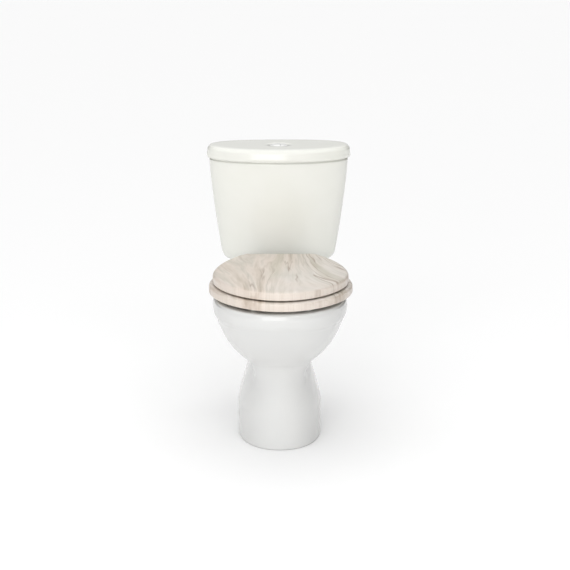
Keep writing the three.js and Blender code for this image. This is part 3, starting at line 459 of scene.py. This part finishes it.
def foamed(name):
    """Closed cell foam: a matt dark skin of small open bubbles."""
    finish = Finish(name, ior=1.4)
    cells = finish.node("TexVoronoi", sockets={"Scale": 900.0, "Vector": finish.place()})
    finish.set("Base Color", finish.mix(finish.ramp(cells, 0.1, 0.6), (0.02, 0.02, 0.022), (0.07, 0.07, 0.075)))
    finish.set("Roughness", 0.85 + cells * 0.1)
    finish.bump(cells, 0.5, 0.0004)
    return finish.material


PAN_CHINA = glaze("pan_glaze", (0.715, 0.716, 0.705), (0.73, 0.728, 0.715))
CISTERN_CHINA = glaze("cistern_glaze", (0.812, 0.816, 0.757), (0.825, 0.825, 0.775))
FINISHES = {
    "driftwood": driftwood("driftwood_film"),
    "plated": metal("plated_metal", (0.80, 0.81, 0.82), 0.08, 0.03),
    "zinc_steel": metal("zinc_plate", (0.62, 0.63, 0.66), 0.30, 0.12),
    "brass": metal("drawn_brass", (0.72, 0.55, 0.27), 0.24, 0.10),
    "black_rubber": moulding("black_rubber", (0.025, 0.025, 0.027), 0.62, speckle=0.08),
    "foam": foamed("closed_cell_foam"),
    "clear_pad": moulding("milky_pad", (0.66, 0.65, 0.61), 0.42),
    "gloss_white": moulding("gloss_white_plastic", (0.90, 0.90, 0.88), 0.16, speckle=0.01, coat=0.5),
    "white_plastic": moulding("satin_white_plastic", (0.76, 0.76, 0.74), 0.38),
    "grey_plastic": moulding("grey_plastic", (0.36, 0.38, 0.40), 0.42),
    "blue_plastic": moulding("blue_plastic", (0.10, 0.23, 0.42), 0.40),
}


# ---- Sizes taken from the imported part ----

def low(node):
    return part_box(node)[0]


def high(node):
    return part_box(node)[1]


RIM_TOP = high("pan_rim").z
RIM_SIDE = high("pan_rim").x
RIM_FRONT = low("pan_rim").y
RIM_BACK = high("pan_rim").y
RIM_FRONT_LENGTH = 204 * MM
BOWL_Y = RIM_FRONT + RIM_FRONT_LENGTH
BOWL_BACK_LENGTH = RIM_BACK - BOWL_Y
BAND_FOOT = RIM_TOP - 50 * MM
NECK = RIM_TOP * 0.55
NECK_SIDE = 78.5 * MM
NECK_FRONT = 57 * MM
FOOT_SIDE = high("pan_foot").x
FOOT_FRONT = low("pan_foot").y
FOOT_BACK = high("cistern_lid").y - 140 * MM
SHELF_FOOT = low("pan_shelf").z
SHELF_BACK = high("pan_shelf").y
SHELF_FRONT = low("pan_shelf").y
SHELF_SIDE = 88 * MM
VALVE_Y = (low("valve_base").y + high("valve_base").y) / 2
WALL = 12 * MM
AROUND = 360


# ---- Pan ----

def bowl_outline(side, z):
    """An egg as wide as side at the bowl's middle. Its front and back lengths pass from the neck's nearly
    round plan to the rim's egg with the height to the power of three quarters."""
    share = min(max((z - NECK) / (BAND_FOOT - NECK), 0), 1) ** 0.75
    front = side * (NECK_FRONT / NECK_SIDE * (1 - share) + RIM_FRONT_LENGTH / RIM_SIDE * share)
    back = side * (1 - share + BOWL_BACK_LENGTH / RIM_SIDE * share)
    return oval(side, front, back, 2.3, 2.3, BOWL_Y)


def bowl_side(z, wall=0.0):
    """The bowl's half width under the band: the line of least bending down to the sump, drawn in by wall."""
    rise = BAND_FOOT - NECK
    knots = [NECK * 0.59, NECK * 0.84, NECK, NECK + rise * 0.215, NECK + rise * 0.56, BAND_FOOT - 4 * MM]
    widths = [54 * MM, 66 * MM, NECK_SIDE, RIM_SIDE - 68 * MM, RIM_SIDE - 33 * MM, RIM_SIDE - 10 * MM]
    return float(spline(knots, widths, z)) - wall


def band_side(z):
    """The half width of the band under the rim: a soft step out at its foot, and a round shoulder on top."""
    knots = [0, 5, 12, 22, 34, 42, 47, 50]
    widths = [9.2, 5.8, 2.4, 0.5, 0, 1.6, 5.2, 11]
    return RIM_SIDE - float(spline(knots, widths, (z - BAND_FOOT) / MM)) * MM


def pedestal_outline(z, inset=0.0):
    """The pedestal's plan: squarer at the back, as wide as the foot up to two fifths of the neck's height,
    and then drawn in to the waist and on up inside the bowl."""
    rise = z / NECK
    knots = [0, 0.3, 0.42, 0.5, 0.63, 0.75, 0.88, 1, 1.19, 1.5, 1.8]
    share = float(spline(knots, [1, 1, 0.97, 0.83, 0.58, 0.34, 0.14, 0, -0.2, -0.5, -0.8], rise))
    front_in = float(spline(knots, [0, 4, 6, 8, 11, 13, 14, 18, 40, 80, 120], rise)) * MM
    back_in = float(spline(knots, [0, 0, 0, 0, 1, 5, 17, 38, 70, 100, 120], rise)) * MM
    side = NECK_SIDE + (FOOT_SIDE - NECK_SIDE) * share - inset
    return oval(side, -FOOT_FRONT - front_in - inset, FOOT_BACK - back_in - inset, 2.2, 2.6)


def spine_outline(z):
    """The upright behind the bowl: a narrow box with round corners that leans back as it rises."""
    knots = [60, 180, 250, 330, 400]
    back = float(spline(knots, [172, 182, 205, 270, 300], z / MM)) * MM
    side = float(spline(knots, [62, 62, 60, 50, 48], z / MM)) * MM
    middle = 20 * MM
    return oval(side, 115 * MM, back - middle, 4, 4, middle)


def shelf_outline():
    """The shelf's plan: flanks that sweep in from the rim to two straight sides and a back with round
    corners."""
    wide = RIM_SIDE - 20 * MM
    start = SHELF_FRONT
    straight = VALVE_Y - 60 * MM
    hinge = (low("hinge_post_left").y + high("hinge_post_left").y) / 2
    corner = 26 * MM
    flank = bezier((wide, start), (wide, hinge - 20 * MM), (SHELF_SIDE + 8 * MM, hinge - 10 * MM),
                   (SHELF_SIDE, straight))
    turn = np.linspace(0, math.pi / 2, 24)[:, None]
    centre = np.array([SHELF_SIDE - corner, SHELF_BACK - corner])
    arc = centre + corner * np.hstack([np.cos(turn), np.sin(turn)])
    right = np.vstack([[0, -0.12], [wide * 0.9, -0.1], flank, [SHELF_SIDE, straight], arc])
    left = right[:0:-1] * [-1, 1]
    return along(np.vstack([right, left]), 1440)


POLE_Y = -80 * MM
RAYS = np.linspace(0, FULL_TURN, 2880, endpoint=False)


def reach(outline):
    """How far the outline stands from the pole along each ray, for an outline seen whole from the pole."""
    across, ahead = outline[:, 0], -(outline[:, 1] - POLE_Y)
    turn = np.arctan2(across, ahead) % FULL_TURN
    order = np.argsort(turn)
    return np.interp(RAYS, turn[order], np.hypot(across, ahead)[order], period=FULL_TURN)


def blended(first, second, fillet):
    """The further of two reaches, filled out where they are within fillet of each other."""
    close = np.maximum(fillet - np.abs(first - second), 0)
    return np.maximum(first, second) + close**2 / (4 * fillet)


def from_reach(distance):
    """The outline at a distance from the pole along each ray, at equal steps from the front."""
    points = np.stack([distance * np.sin(RAYS), POLE_Y - distance * np.cos(RAYS)], axis=-1)
    return along(points, AROUND)


def pan_outline(z):
    """The pan's plan at a height: pedestal, upright and bowl run into each other with cast fillets."""
    plan = reach(pedestal_outline(z)) if z < NECK * 1.75 else np.zeros_like(RAYS)
    if z > 60 * MM:
        plan = blended(plan, reach(spine_outline(z)), 30 * MM)
    if z > NECK * 0.62:
        side = bowl_side(z) if z < BAND_FOOT - 4 * MM else band_side(max(z, BAND_FOOT))
        plan = blended(plan, reach(bowl_outline(side, z)), 9 * MM)
    return plan


def make_pan():
    """The pan as one closed skin: up its outside from the floor, over the rim, down the bowl, and back
    through the hollow of the foot."""
    rows = []
    for inset, z in ((2.6, 0), (1.2, 0.5), (0.3, 1.8), (0, 4)):
        rows.append((from_reach(pan_outline(z * MM) - inset * MM), z * MM))
    edge = 5 * MM
    for z in np.linspace(10 * MM, BAND_FOOT - 4.5 * MM, 110):
        rows.append((from_reach(pan_outline(z)), z))
    for z in np.linspace(BAND_FOOT, SHELF_FOOT - 0.2 * MM, 16):
        rows.append((from_reach(pan_outline(z)), z))
    shelf = reach(shelf_outline())
    for inset, rise in quarter(edge):
        z = SHELF_FOOT + rise
        rows.append((from_reach(blended(pan_outline(z), shelf - inset, 8 * MM)), z))
    shoulder = 9 * MM
    for z in np.linspace(SHELF_FOOT + 6 * MM, RIM_TOP - shoulder, 6)[:-1]:
        rows.append((from_reach(blended(pan_outline(z), shelf, 8 * MM)), z))
    crest = blended(pan_outline(RIM_TOP - shoulder), shelf, 8 * MM)
    for inset, rise in quarter(shoulder, 9)[::-1]:
        rows.append((from_reach(crest - inset), RIM_TOP - rise))
    deck = rows[-1][0]
    opening_side = RIM_SIDE - 46 * MM
    lip = lambda grow, z: (along(bowl_outline(opening_side + grow * MM, BAND_FOOT), AROUND), z)
    mouth = lip(8, RIM_TOP)[0]
    for share in (0.25, 0.5, 0.75, 1):
        rows.append((deck + (mouth - deck) * share, RIM_TOP))
    for grow, drop in ((5, 0.7), (2.5, 2.6), (0.8, 5.5), (0, 10), (-1.5, 22), (-3, 34), (-2.5, 39), (0, 42),
                       (3, 41), (4, 38), (4, 22), (6, 17), (10, 16), (18, 16), (23, 18), (25.5, 24)):
        rows.append(lip(grow, RIM_TOP - drop * MM))
    sump = NECK * 0.41
    for z in np.linspace(BAND_FOOT - 4 * MM, NECK * 0.6, 40):
        rows.append((along(bowl_outline(bowl_side(z, WALL), z), AROUND), z))
    for side, rise in ((40, 28), (37.5, 18), (33, 9), (26, 3.5), (14, 0.6)):
        rows.append((along(bowl_outline(side * MM, sump), AROUND), sump + rise * MM))
    pan = stack("pan", [*foot_hollow()[::-1], *rows], PAN_CHINA)
    holes = [
        turned("inlet_seat", [(50 * MM, RIM_TOP - 14 * MM), (50 * MM, RIM_TOP + 0.02)], 0, VALVE_Y, PAN_CHINA,
               looped=False),
        turned("inlet_well", [(36 * MM, RIM_TOP - 44 * MM), (36 * MM, RIM_TOP + 0.02)], 0, VALVE_Y, PAN_CHINA,
               looped=False),
        skin("trap_way", tube_along(trap_line(), 32 * MM), PAN_CHINA),
    ]
    for name, radius in (("cistern_bolt", 7), ("seat_bolt", 8)):
        for side in ("left", "right"):
            near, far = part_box(f"{name}_{side}")
            x, y = (near.x + far.x) / 2, (near.y + far.y) / 2
            profile = [(radius * MM, SHELF_FOOT - 0.02), (radius * MM, RIM_TOP + 0.02)]
            holes.append(turned(f"{name}_hole_{side}", profile, x, y, PAN_CHINA, around=32, looped=False))
    drilled(pan, holes)
    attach(pan, "pan_and_cistern")
    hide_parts("pan_rim", "pan_bowl", "pan_foot", "pan_inlet", "pan_shelf")


def foot_hollow():
    """The open underside of the foot, from its edge up to a flat roof below the sump."""
    roof = NECK * 0.32
    inner = lambda inset, z: (along(pedestal_outline(max(z, 0), inset * MM), AROUND), z)
    rows = [inner(5, 0), inner(10, 0), inner(11.6, 1 * MM), inner(12, 3 * MM)]
    rows += [inner(12, z) for z in np.linspace(8 * MM, roof - 10 * MM, 6)]
    rows += [inner(12 + inset / MM, roof - rise) for inset, rise in quarter(10 * MM)[::-1]]
    rows += [(shrunk(rows[-1][0], share), roof) for share in (0.7, 0.35)]
    return rows


def trap_line():
    """The trap's way in the middle plane: out of the sump, over the weir, down to the outlet."""
    start = FOOT_BACK - 14 * MM
    weir = RIM_TOP * 0.5
    dip, crown = weir - 82 * MM, weir + 32 * MM
    outlet = RIM_TOP * 0.45
    y = [BOWL_Y + 10 * MM, BOWL_Y + 90 * MM, start - 156 * MM, start - 114 * MM, start - 64 * MM,
         start - 16 * MM, start + 20 * MM, start + 60 * MM]
    z = [dip, dip + 2 * MM, dip + 32 * MM, crown - 30 * MM, crown, crown - 13 * MM, outlet + 9 * MM, outlet]
    knots = np.arange(len(y))
    at = np.linspace(0, knots[-1], 70)
    return np.column_stack([spline(knots, y, at), spline(knots, z, at)])


def make_outlet():
    """The outlet spigot: a tube whose wall thins to a rounded end."""
    y0, y1 = FOOT_BACK - 14 * MM, high("pan_trap").y
    z = RIM_TOP * 0.45
    profile = [(42, y0), (47, y0), (51, y0 + 0.01), (51, y1 - 0.02), (50.6, y1 - 0.003), (49.6, y1 - 0.0008),
               (48, y1), (45, y1), (43.4, y1 - 0.0008), (42.4, y1 - 0.003), (42, y1 - 0.01)]
    turn = np.linspace(0, FULL_TURN, 96, endpoint=False)
    radius = np.array([item[0] for item in profile])[:, None] * MM
    y = np.array([item[1] for item in profile])[:, None]
    rows = np.stack([radius * np.cos(turn), y + 0 * turn, z + radius * np.sin(turn)], axis=-1)
    outlet = skin("outlet_spigot", rows, PAN_CHINA, looped=True, sharp=40)
    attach(outlet, "pan_and_cistern")
    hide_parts("pan_trap")


# ---- Cistern ----

CISTERN_BOTTOM = low("cistern_body").z
CISTERN_TOP = high("cistern_body").z
LID_FOOT = low("cistern_lid").z
LID_TOP = high("cistern_lid").z
LID_SIDE = high("cistern_lid").x
LID_FRONT = low("cistern_lid").y
LID_BACK = high("cistern_lid").y
CISTERN_SIDE = high("cistern_body").x
CISTERN_FRONT = low("cistern_body").y
CISTERN_BACK = high("cistern_body").y
CISTERN_Y = LID_BACK - 88 * MM


def cistern_outline(z, inset=0.0):
    """The body's plan: both sides and the front lean in with the drop below the lid to the power of 1.35,
    and the back is flat."""
    drop = min(max((LID_FOOT - z) / (LID_FOOT - CISTERN_BOTTOM), 0), 1) ** 1.35
    side = CISTERN_SIDE - 37 * MM * drop - inset
    front = CISTERN_Y - CISTERN_FRONT - 16 * MM * drop - inset
    back = CISTERN_BACK + 2 * MM - CISTERN_Y - inset
    plan = oval(side, front, back, 2.05, 2.8, CISTERN_Y, 1440)
    plan[:, 1] = np.minimum(plan[:, 1], CISTERN_BACK - inset)
    return along(plan, AROUND)


def make_cistern():
    """The open topped body as one closed skin: outside up, over the lip, down inside to its floor."""
    curl = [(20, 0), (14, 1.2), (9, 4), (4.5, 9), (1.8, 15), (0.4, 22)]
    rows = [(shrunk(cistern_outline(CISTERN_BOTTOM, 20 * MM), share), CISTERN_BOTTOM) for share in (0.3, 0.7)]
    rows += [(cistern_outline(CISTERN_BOTTOM + rise * MM, inset * MM), CISTERN_BOTTOM + rise * MM)
             for inset, rise in curl]
    rows += [(cistern_outline(z), z) for z in np.linspace(CISTERN_BOTTOM + 32 * MM, LID_FOOT - 9 * MM, 44)]
    rows += [(cistern_outline(LID_FOOT, inset * MM), LID_FOOT - drop * MM)
             for inset, drop in ((0.3, 7), (1.2, 5.6), (2.6, 4.6), (3.2, 3.2), (3.2, 0))]
    wall = 10 * MM
    for inset, drop in ((3.4, 1.4), (4.2, 0.3), (5, 0), (7.6, 0), (8.8, 0.4), (9.6, 1.4), (10, 3)):
        rows.append((cistern_outline(CISTERN_TOP, inset * MM), CISTERN_TOP - drop * MM))
    floor = CISTERN_BOTTOM + 10 * MM
    rows += [(cistern_outline(z, wall), z) for z in np.linspace(CISTERN_TOP - 10 * MM, floor + 16 * MM, 24)]
    for inset, rise in ((11, 9), (13.5, 4), (17, 1), (22, 0)):
        rows.append((cistern_outline(floor + rise * MM, inset * MM), floor + rise * MM))
    rows += [(shrunk(rows[-1][0], share), floor) for share in (0.7, 0.3)]
    body = stack("cistern", rows, CISTERN_CHINA)
    holes = []
    for name, radius in (("valve_base", 32), ("fill_valve_body", 11.5), ("cistern_bolt_left", 7),
                         ("cistern_bolt_right", 7)):
        near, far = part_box(name)
        x, y = (near.x + far.x) / 2, (near.y + far.y) / 2
        profile = [(radius * MM, CISTERN_BOTTOM - 0.01), (radius * MM, floor + 0.01)]
        holes.append(turned(f"{name}_hole", profile, x, y, CISTERN_CHINA, around=48, looped=False))
    drilled(body, holes)
    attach(body, "pan_and_cistern")
    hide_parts("cistern_body")


def lid_outline(inset):
    front, back = CISTERN_Y - LID_FRONT - inset, LID_BACK - CISTERN_Y - inset
    plan = oval(LID_SIDE - inset, front, back, 2.05, 2.8, CISTERN_Y, 1440)
    return along(plan, AROUND)


def make_cistern_lid():
    """The lid as one closed skin with the button's hole through it: over its soft edge and nearly flat top,
    down the hole, and out under the plate to the hanging edge."""
    height = (LID_TOP - LID_FOOT) / MM
    knots = [0, 0.09, 0.3, 0.6, 0.78, 0.9, 0.97, 1]
    at = np.concatenate([np.linspace(0, 0.6, 12), np.linspace(0.62, 1, 14)])
    insets = spline(knots, [1.6, 0.2, 0.4, 1.6, 3.6, 7, 12.5, 21], at)
    rows = [(lid_outline(max(inset, 0) * MM), LID_FOOT + share * height * MM)
            for inset, share in zip(insets, at)]
    edge = rows[-1][0]
    bezel = 25 * MM
    ring = lambda radius, z: (circle(radius, 0, VALVE_Y, AROUND), z)
    flat = ring(bezel + 0.5 * MM, LID_TOP)[0]
    rows += [(edge + (flat - edge) * share, LID_TOP) for share in (0.12, 0.3, 0.5, 0.7, 0.88, 1)]
    seat = LID_TOP - 3 * MM
    plate = LID_TOP - 10 * MM
    rows += [ring(bezel, LID_TOP - 0.5 * MM), ring(bezel, seat), ring(20 * MM, seat), ring(20 * MM, plate)]
    under = cistern_outline(CISTERN_TOP, 18 * MM)
    seating = CISTERN_TOP + TOUCH
    rows += [(rows[-1][0] + (under - rows[-1][0]) * share, plate) for share in (0.3, 0.65, 0.95)]
    rows.append((cistern_outline(CISTERN_TOP, 13 * MM), plate - 5 * MM))
    rows += [(cistern_outline(CISTERN_TOP, inset * MM), seating) for inset in (12, 6, -1.2)]
    rows += [(cistern_outline(CISTERN_TOP, inset * MM), LID_FOOT + rise * MM)
             for inset, rise in ((-2, 3), (-2.4, 0.6))]
    rows.append((lid_outline(3.8 * MM), LID_FOOT))
    lid = stack("cistern_cover", rows, CISTERN_CHINA, looped=True, sharp=50)
    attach(lid, "cistern_lid_lifted")
    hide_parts("cistern_lid")


# ---- Push button ----

BUTTON = 16.5 * MM
SPLIT_X = 5 * MM


def make_bezel():
    """The button's collar: a sleeve through the lid under a thin flange with a rounded top."""
    bore = BUTTON + 0.4 * MM
    foot, top = low("button_housing").z, high("button_housing").z
    sleeve = 19 * MM
    seat = top - 2.7 * MM
    profile = [(bore, foot), (sleeve, foot), (sleeve, seat), (23.6 * MM, seat), (24 * MM, seat + 0.4 * MM)]
    profile += [(24 * MM - inset, top - rise) for inset, rise in quarter(1.6 * MM)[::-1]]
    profile += [(bore + inset, top - 0.2 * MM - rise) for inset, rise in quarter(0.7 * MM)]
    collar = turned("button_collar", profile, 0, VALVE_Y, FINISHES["gloss_white"], around=96)
    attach(collar, "cistern_lid_lifted")
    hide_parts("button_housing")


def make_button(node, body, side):
    """One part of the split button: a round plug cut by a chord. Its top is a shallow dome, and its corners
    and top edge are rounded."""
    foot = low(node).z
    turn = np.linspace(0, FULL_TURN, 1440, endpoint=False)
    edge = SPLIT_X + side * 0.35 * MM
    x = BUTTON * np.sin(turn)
    y = -BUTTON * np.cos(turn)
    x = np.minimum(x, edge) if side < 0 else np.maximum(x, edge)
    keep = np.hypot(x, y) <= BUTTON + 1e-9
    outline = along(np.stack([x, y], axis=-1)[keep], 160)
    dome = lambda plan: 1.5 * MM * (1 - (np.hypot(plan[:, 0], plan[:, 1]) / BUTTON) ** 2)
    crest = high("button_housing").z
    rows = []
    place = lambda plan, z: np.column_stack([plan[:, 0], plan[:, 1] + VALVE_Y, z + np.zeros(len(plan))])
    rows += [place(shrunk(outline, share), foot) for share in (0.5, 0.97)]
    rows += [place(outline, foot + 0.5 * MM), place(outline, crest - 1.2 * MM)]
    for inset, rise in quarter(0.9 * MM)[::-1]:
        plan = drawn_in(outline, inset)
        rows.append(place(plan, crest - rise + dome(plan)))
    top = drawn_in(outline, 0.9 * MM)
    for share in (0.8, 0.6, 0.4, 0.2, 0.06):
        plan = shrunk(top, share)
        rows.append(place(plan, crest + dome(plan)))
    button = skin(node.replace("_flush", ""), rows, FINISHES["gloss_white"], sharp=50)
    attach(button, body)
    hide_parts(node)


# ---- Seat ----

RING_FOOT = low("seat_ring").z
RING_TOP = high("seat_ring").z
PANEL_FOOT = low("seat_lid").z
PANEL_TOP = high("seat_lid").z
SEAT_X = (low("seat_ring").x + high("seat_ring").x) / 2
SEAT_Y = low("seat_ring").y + 212 * MM
SEAT_AROUND = 400


def seat_outline(node):
    """The seat's plan: on each side a pointed round front and a flank that draws in to a flat back."""
    near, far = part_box(node)
    half = (far.x - near.x) / 2
    front, back = near.y, far.y
    flat = half / 2
    reach_front, reach_back = SEAT_Y - front, back - SEAT_Y
    corner = flat + (half - flat) * 0.19
    right = np.vstack([
        bezier((0, front), (half * 0.51, front), (half, SEAT_Y - reach_front * 0.51), (half, SEAT_Y), 240),
        bezier((half, SEAT_Y), (half, SEAT_Y + reach_back * 0.5), (corner, back), (flat, back), 240),
        np.linspace((flat, back), (0, back), 60),
    ])
    left = right[-2:0:-1] * [-1, 1]
    plan = along(np.vstack([right, left]), SEAT_AROUND)
    return plan + [SEAT_X, 0]


def make_seat_ring():
    """The ring as a rounded section carried round the seat: its outer edge follows the seat's plan and its
    inner edge an oval."""
    outer = seat_outline("seat_ring")
    plan = oval(118 * MM, 147 * MM, 138 * MM, 2, 2.3, SEAT_Y, 2880)
    inner = along(plan, SEAT_AROUND) + [SEAT_X, 0]
    upper, lower, inside = 8 * MM, 5 * MM, 9 * MM
    rows = [(drawn_in(outer, inset), RING_FOOT + rise) for inset, rise in quarter(lower)]
    rows += [(drawn_in(outer, inset), RING_TOP - rise) for inset, rise in quarter(upper, 9)[::-1]]
    start, end = drawn_in(outer, upper), drawn_in(inner, -inside)
    for share in (0.2, 0.4, 0.6, 0.8):
        rows.append((start + (end - start) * share, RING_TOP))
    rows += [(drawn_in(inner, -inset), RING_TOP - rise) for inset, rise in quarter(inside, 9)]
    rows += [(drawn_in(inner, -inset), RING_FOOT + rise) for inset, rise in quarter(lower)[::-1]]
    ring = stack("seat", rows, FINISHES["driftwood"], looped=True)
    note_facing(ring)
    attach(ring, "seat_ring_swing")
    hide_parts("seat_ring")


def make_seat_lid():
    """The lid: a board with a rounded upper edge, a smaller lower one and a hardly crowned top."""
    outer = seat_outline("seat_lid")
    upper, lower = 9 * MM, 3 * MM
    rows = [(shrunk(drawn_in(outer, lower), share), PANEL_FOOT) for share in (0.3, 0.6, 0.85)]
    rows += [(drawn_in(outer, inset), PANEL_FOOT + rise) for inset, rise in quarter(lower)]
    sink = 1.0 * MM
    rows += [(drawn_in(outer, inset), PANEL_TOP - sink - rise) for inset, rise in quarter(upper, 10)[::-1]]
    top = drawn_in(outer, upper)
    for share in (0.94, 0.85, 0.7, 0.5, 0.3, 0.1):
        rows.append((shrunk(top, share), PANEL_TOP - sink * share**4))
    lid = stack("seat_cover", rows, FINISHES["driftwood"])
    note_facing(lid)
    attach(lid, "seat_lid_swing")
    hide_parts("seat_lid")


# ---- Fittings: valves, hinges, fasteners and pads ----

def make_fitting(node, body, slot):
    """A fitting finished from its solid: its loose facets are joined, its round faces shaded smooth and its
    edges broken by a small bevel."""
    mesh = frame["nodes"][node].data.copy()
    mesh.name = node + "_part"
    joined = bmesh.new()
    joined.from_mesh(mesh)
    bmesh.ops.remove_doubles(joined, verts=joined.verts, dist=0.01 * MM)
    bmesh.ops.dissolve_limit(joined, angle_limit=math.radians(1), verts=joined.verts, edges=joined.edges)
    joined.to_mesh(mesh)
    joined.free()
    piece = placed(node + "_part", mesh, FINISHES[slot], sharp=32)
    bevel = piece.modifiers.new("broken_edges", "BEVEL")
    bevel.width = 0.35 * MM
    bevel.segments = 2
    bevel.limit_method = "ANGLE"
    bevel.angle_limit = math.radians(40)
    bevel.harden_normals = False
    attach(piece, body)
    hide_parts(node)


SIDES = ("left", "right")


def both(*names):
    return [f"{name}_{side}" for name in names for side in SIDES]


FITTING_SLOTS = {
    "plated": both("hinge_post", "hinge_pin", "ring_arm", "lid_arm"),
    "zinc_steel": both("seat_bolt", "cistern_bolt", "cistern_wing_nut"),
    "brass": ["float_rod"],
    "black_rubber": ["valve_seal", "valve_washer", "fill_washer", *both("cone_washer")],
    "foam": ["coupling_washer"],
    "clear_pad": both("ring_buffer_front", "ring_buffer_rear", "lid_buffer", "hinge_washer"),
    "white_plastic": ["valve_base", "valve_tower", "fill_valve_body", "fill_backnut", "fill_float",
                      *both("screw_cap", "seat_nut")],
    "grey_plastic": ["button_nut", "full_flush_rod", "half_flush_rod", "valve_backnut", "flush_rocker",
                     "half_flush_latch", "fill_valve_head", "float_arm"],
    "blue_plastic": ["valve_core"],
}


def make_fittings():
    home = {node: body for body, nodes in frame["record"]["behaviour"]["bodies"].items() for node in nodes}
    for slot, nodes in FITTING_SLOTS.items():
        for node in nodes:
            make_fitting(node, home[node], slot)


# ---- Making the pieces ----

make_pan()
make_outlet()
make_cistern()
make_cistern_lid()
make_bezel()
make_button("full_flush_button", "full_flush", -1)
make_button("half_flush_button", "half_flush", 1)
make_seat_ring()
make_seat_lid()
make_fittings()


# ---- Floor, light and camera ----

def make_floor():
    """A wide pale studio floor, faintly mottled."""
    half = 40.0
    mesh = bpy.data.meshes.new("floor")
    corners = [(-half, -half, 0), (half, -half, 0), (half, half, 0), (-half, half, 0)]
    mesh.from_pydata(corners, [], [(0, 1, 2, 3)])
    finish = Finish("studio_floor", ior=1.05)
    mottle = finish.noise(1.5, detail=2)
    finish.set("Base Color", finish.mix(mottle * 0.3, (0.95, 0.95, 0.95), (0.94, 0.94, 0.94)))
    finish.set("Roughness", 0.85 + mottle * 0.1)
    floor = placed("floor", mesh, finish.material)
    floor.location.z = -0.5 * MM
    floor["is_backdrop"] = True


def area_light(name, place, target, wide, tall, power, colour=(1, 1, 1)):
    """A soft rectangular light that faces its target."""
    data = bpy.data.lights.new(name, "AREA")
    data.shape = "RECTANGLE"
    data.size, data.size_y = wide, tall
    data.energy = power
    data.color = colour
    light = bpy.data.objects.new(name, data)
    light.location = place
    light.rotation_euler = (Vector(target) - Vector(place)).to_track_quat("-Z", "Y").to_euler()
    bpy.context.scene.collection.objects.link(light)


def light_studio():
    world = bpy.data.worlds.new("studio")
    world.use_nodes = True
    sky = Nodes(world.node_tree, "Background")
    across, ahead, up = sky.axes(sky.node("TexCoord", output=0))
    flank = sky.ramp(across.math("ABSOLUTE"), 0.12, 0.78) * (1 - sky.ramp(up, 0.45, 0.9))
    behind = sky.ramp(ahead, 0.25, 0.8) * (1 - sky.ramp(up, 0.25, 0.6))
    right = sky.ramp(across, 0.05, 0.6) * (1 - sky.ramp(up, 0.45, 0.9))
    sky.set("Strength", 1.15 - flank * 0.95 - right * 0.2 - behind * 0.6 + sky.ramp(up, 0.3, 0.9) * 0.33)
    sky.set("Color", (1.0, 1.0, 1.0))
    bpy.context.scene.world = world
    area_light("key", (-1.5, -3.2, 2.5), (0, 0, 0.4), 0.7, 0.5, 6)
    area_light("second", (-0.7, -3.4, 2.7), (0, 0, 0.4), 0.35, 0.35, 3)
    area_light("front", (-0.7, -4.6, 1.3), (0, 0, 0.45), 2.4, 1.6, 37)
    area_light("edge", (1.2, -2.8, 2.8), (0, 0, 0.5), 0.5, 0.3, 4)
    settings = bpy.context.scene.view_settings
    settings.view_transform = "Standard"


def aim_camera():
    """A long lens a little above the lid's height, turned hardly at all from straight ahead."""
    data = bpy.data.cameras.new("camera")
    data.lens = 144.3
    data.sensor_width = 36
    data.clip_end = 200
    camera = bpy.data.objects.new("camera", data)
    camera.location = (-0.0555, -5.8468, 1.8835)
    camera.rotation_euler = (math.radians(90 - 14.27), 0, math.radians(-0.686))
    bpy.context.scene.collection.objects.link(camera)
    bpy.context.scene.camera = camera


make_floor()
light_studio()
aim_camera()

plain = lambda box: [[float(value) for value in corner] for corner in box]
{"cad": plain(cad_box), "visual": plain(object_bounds())}
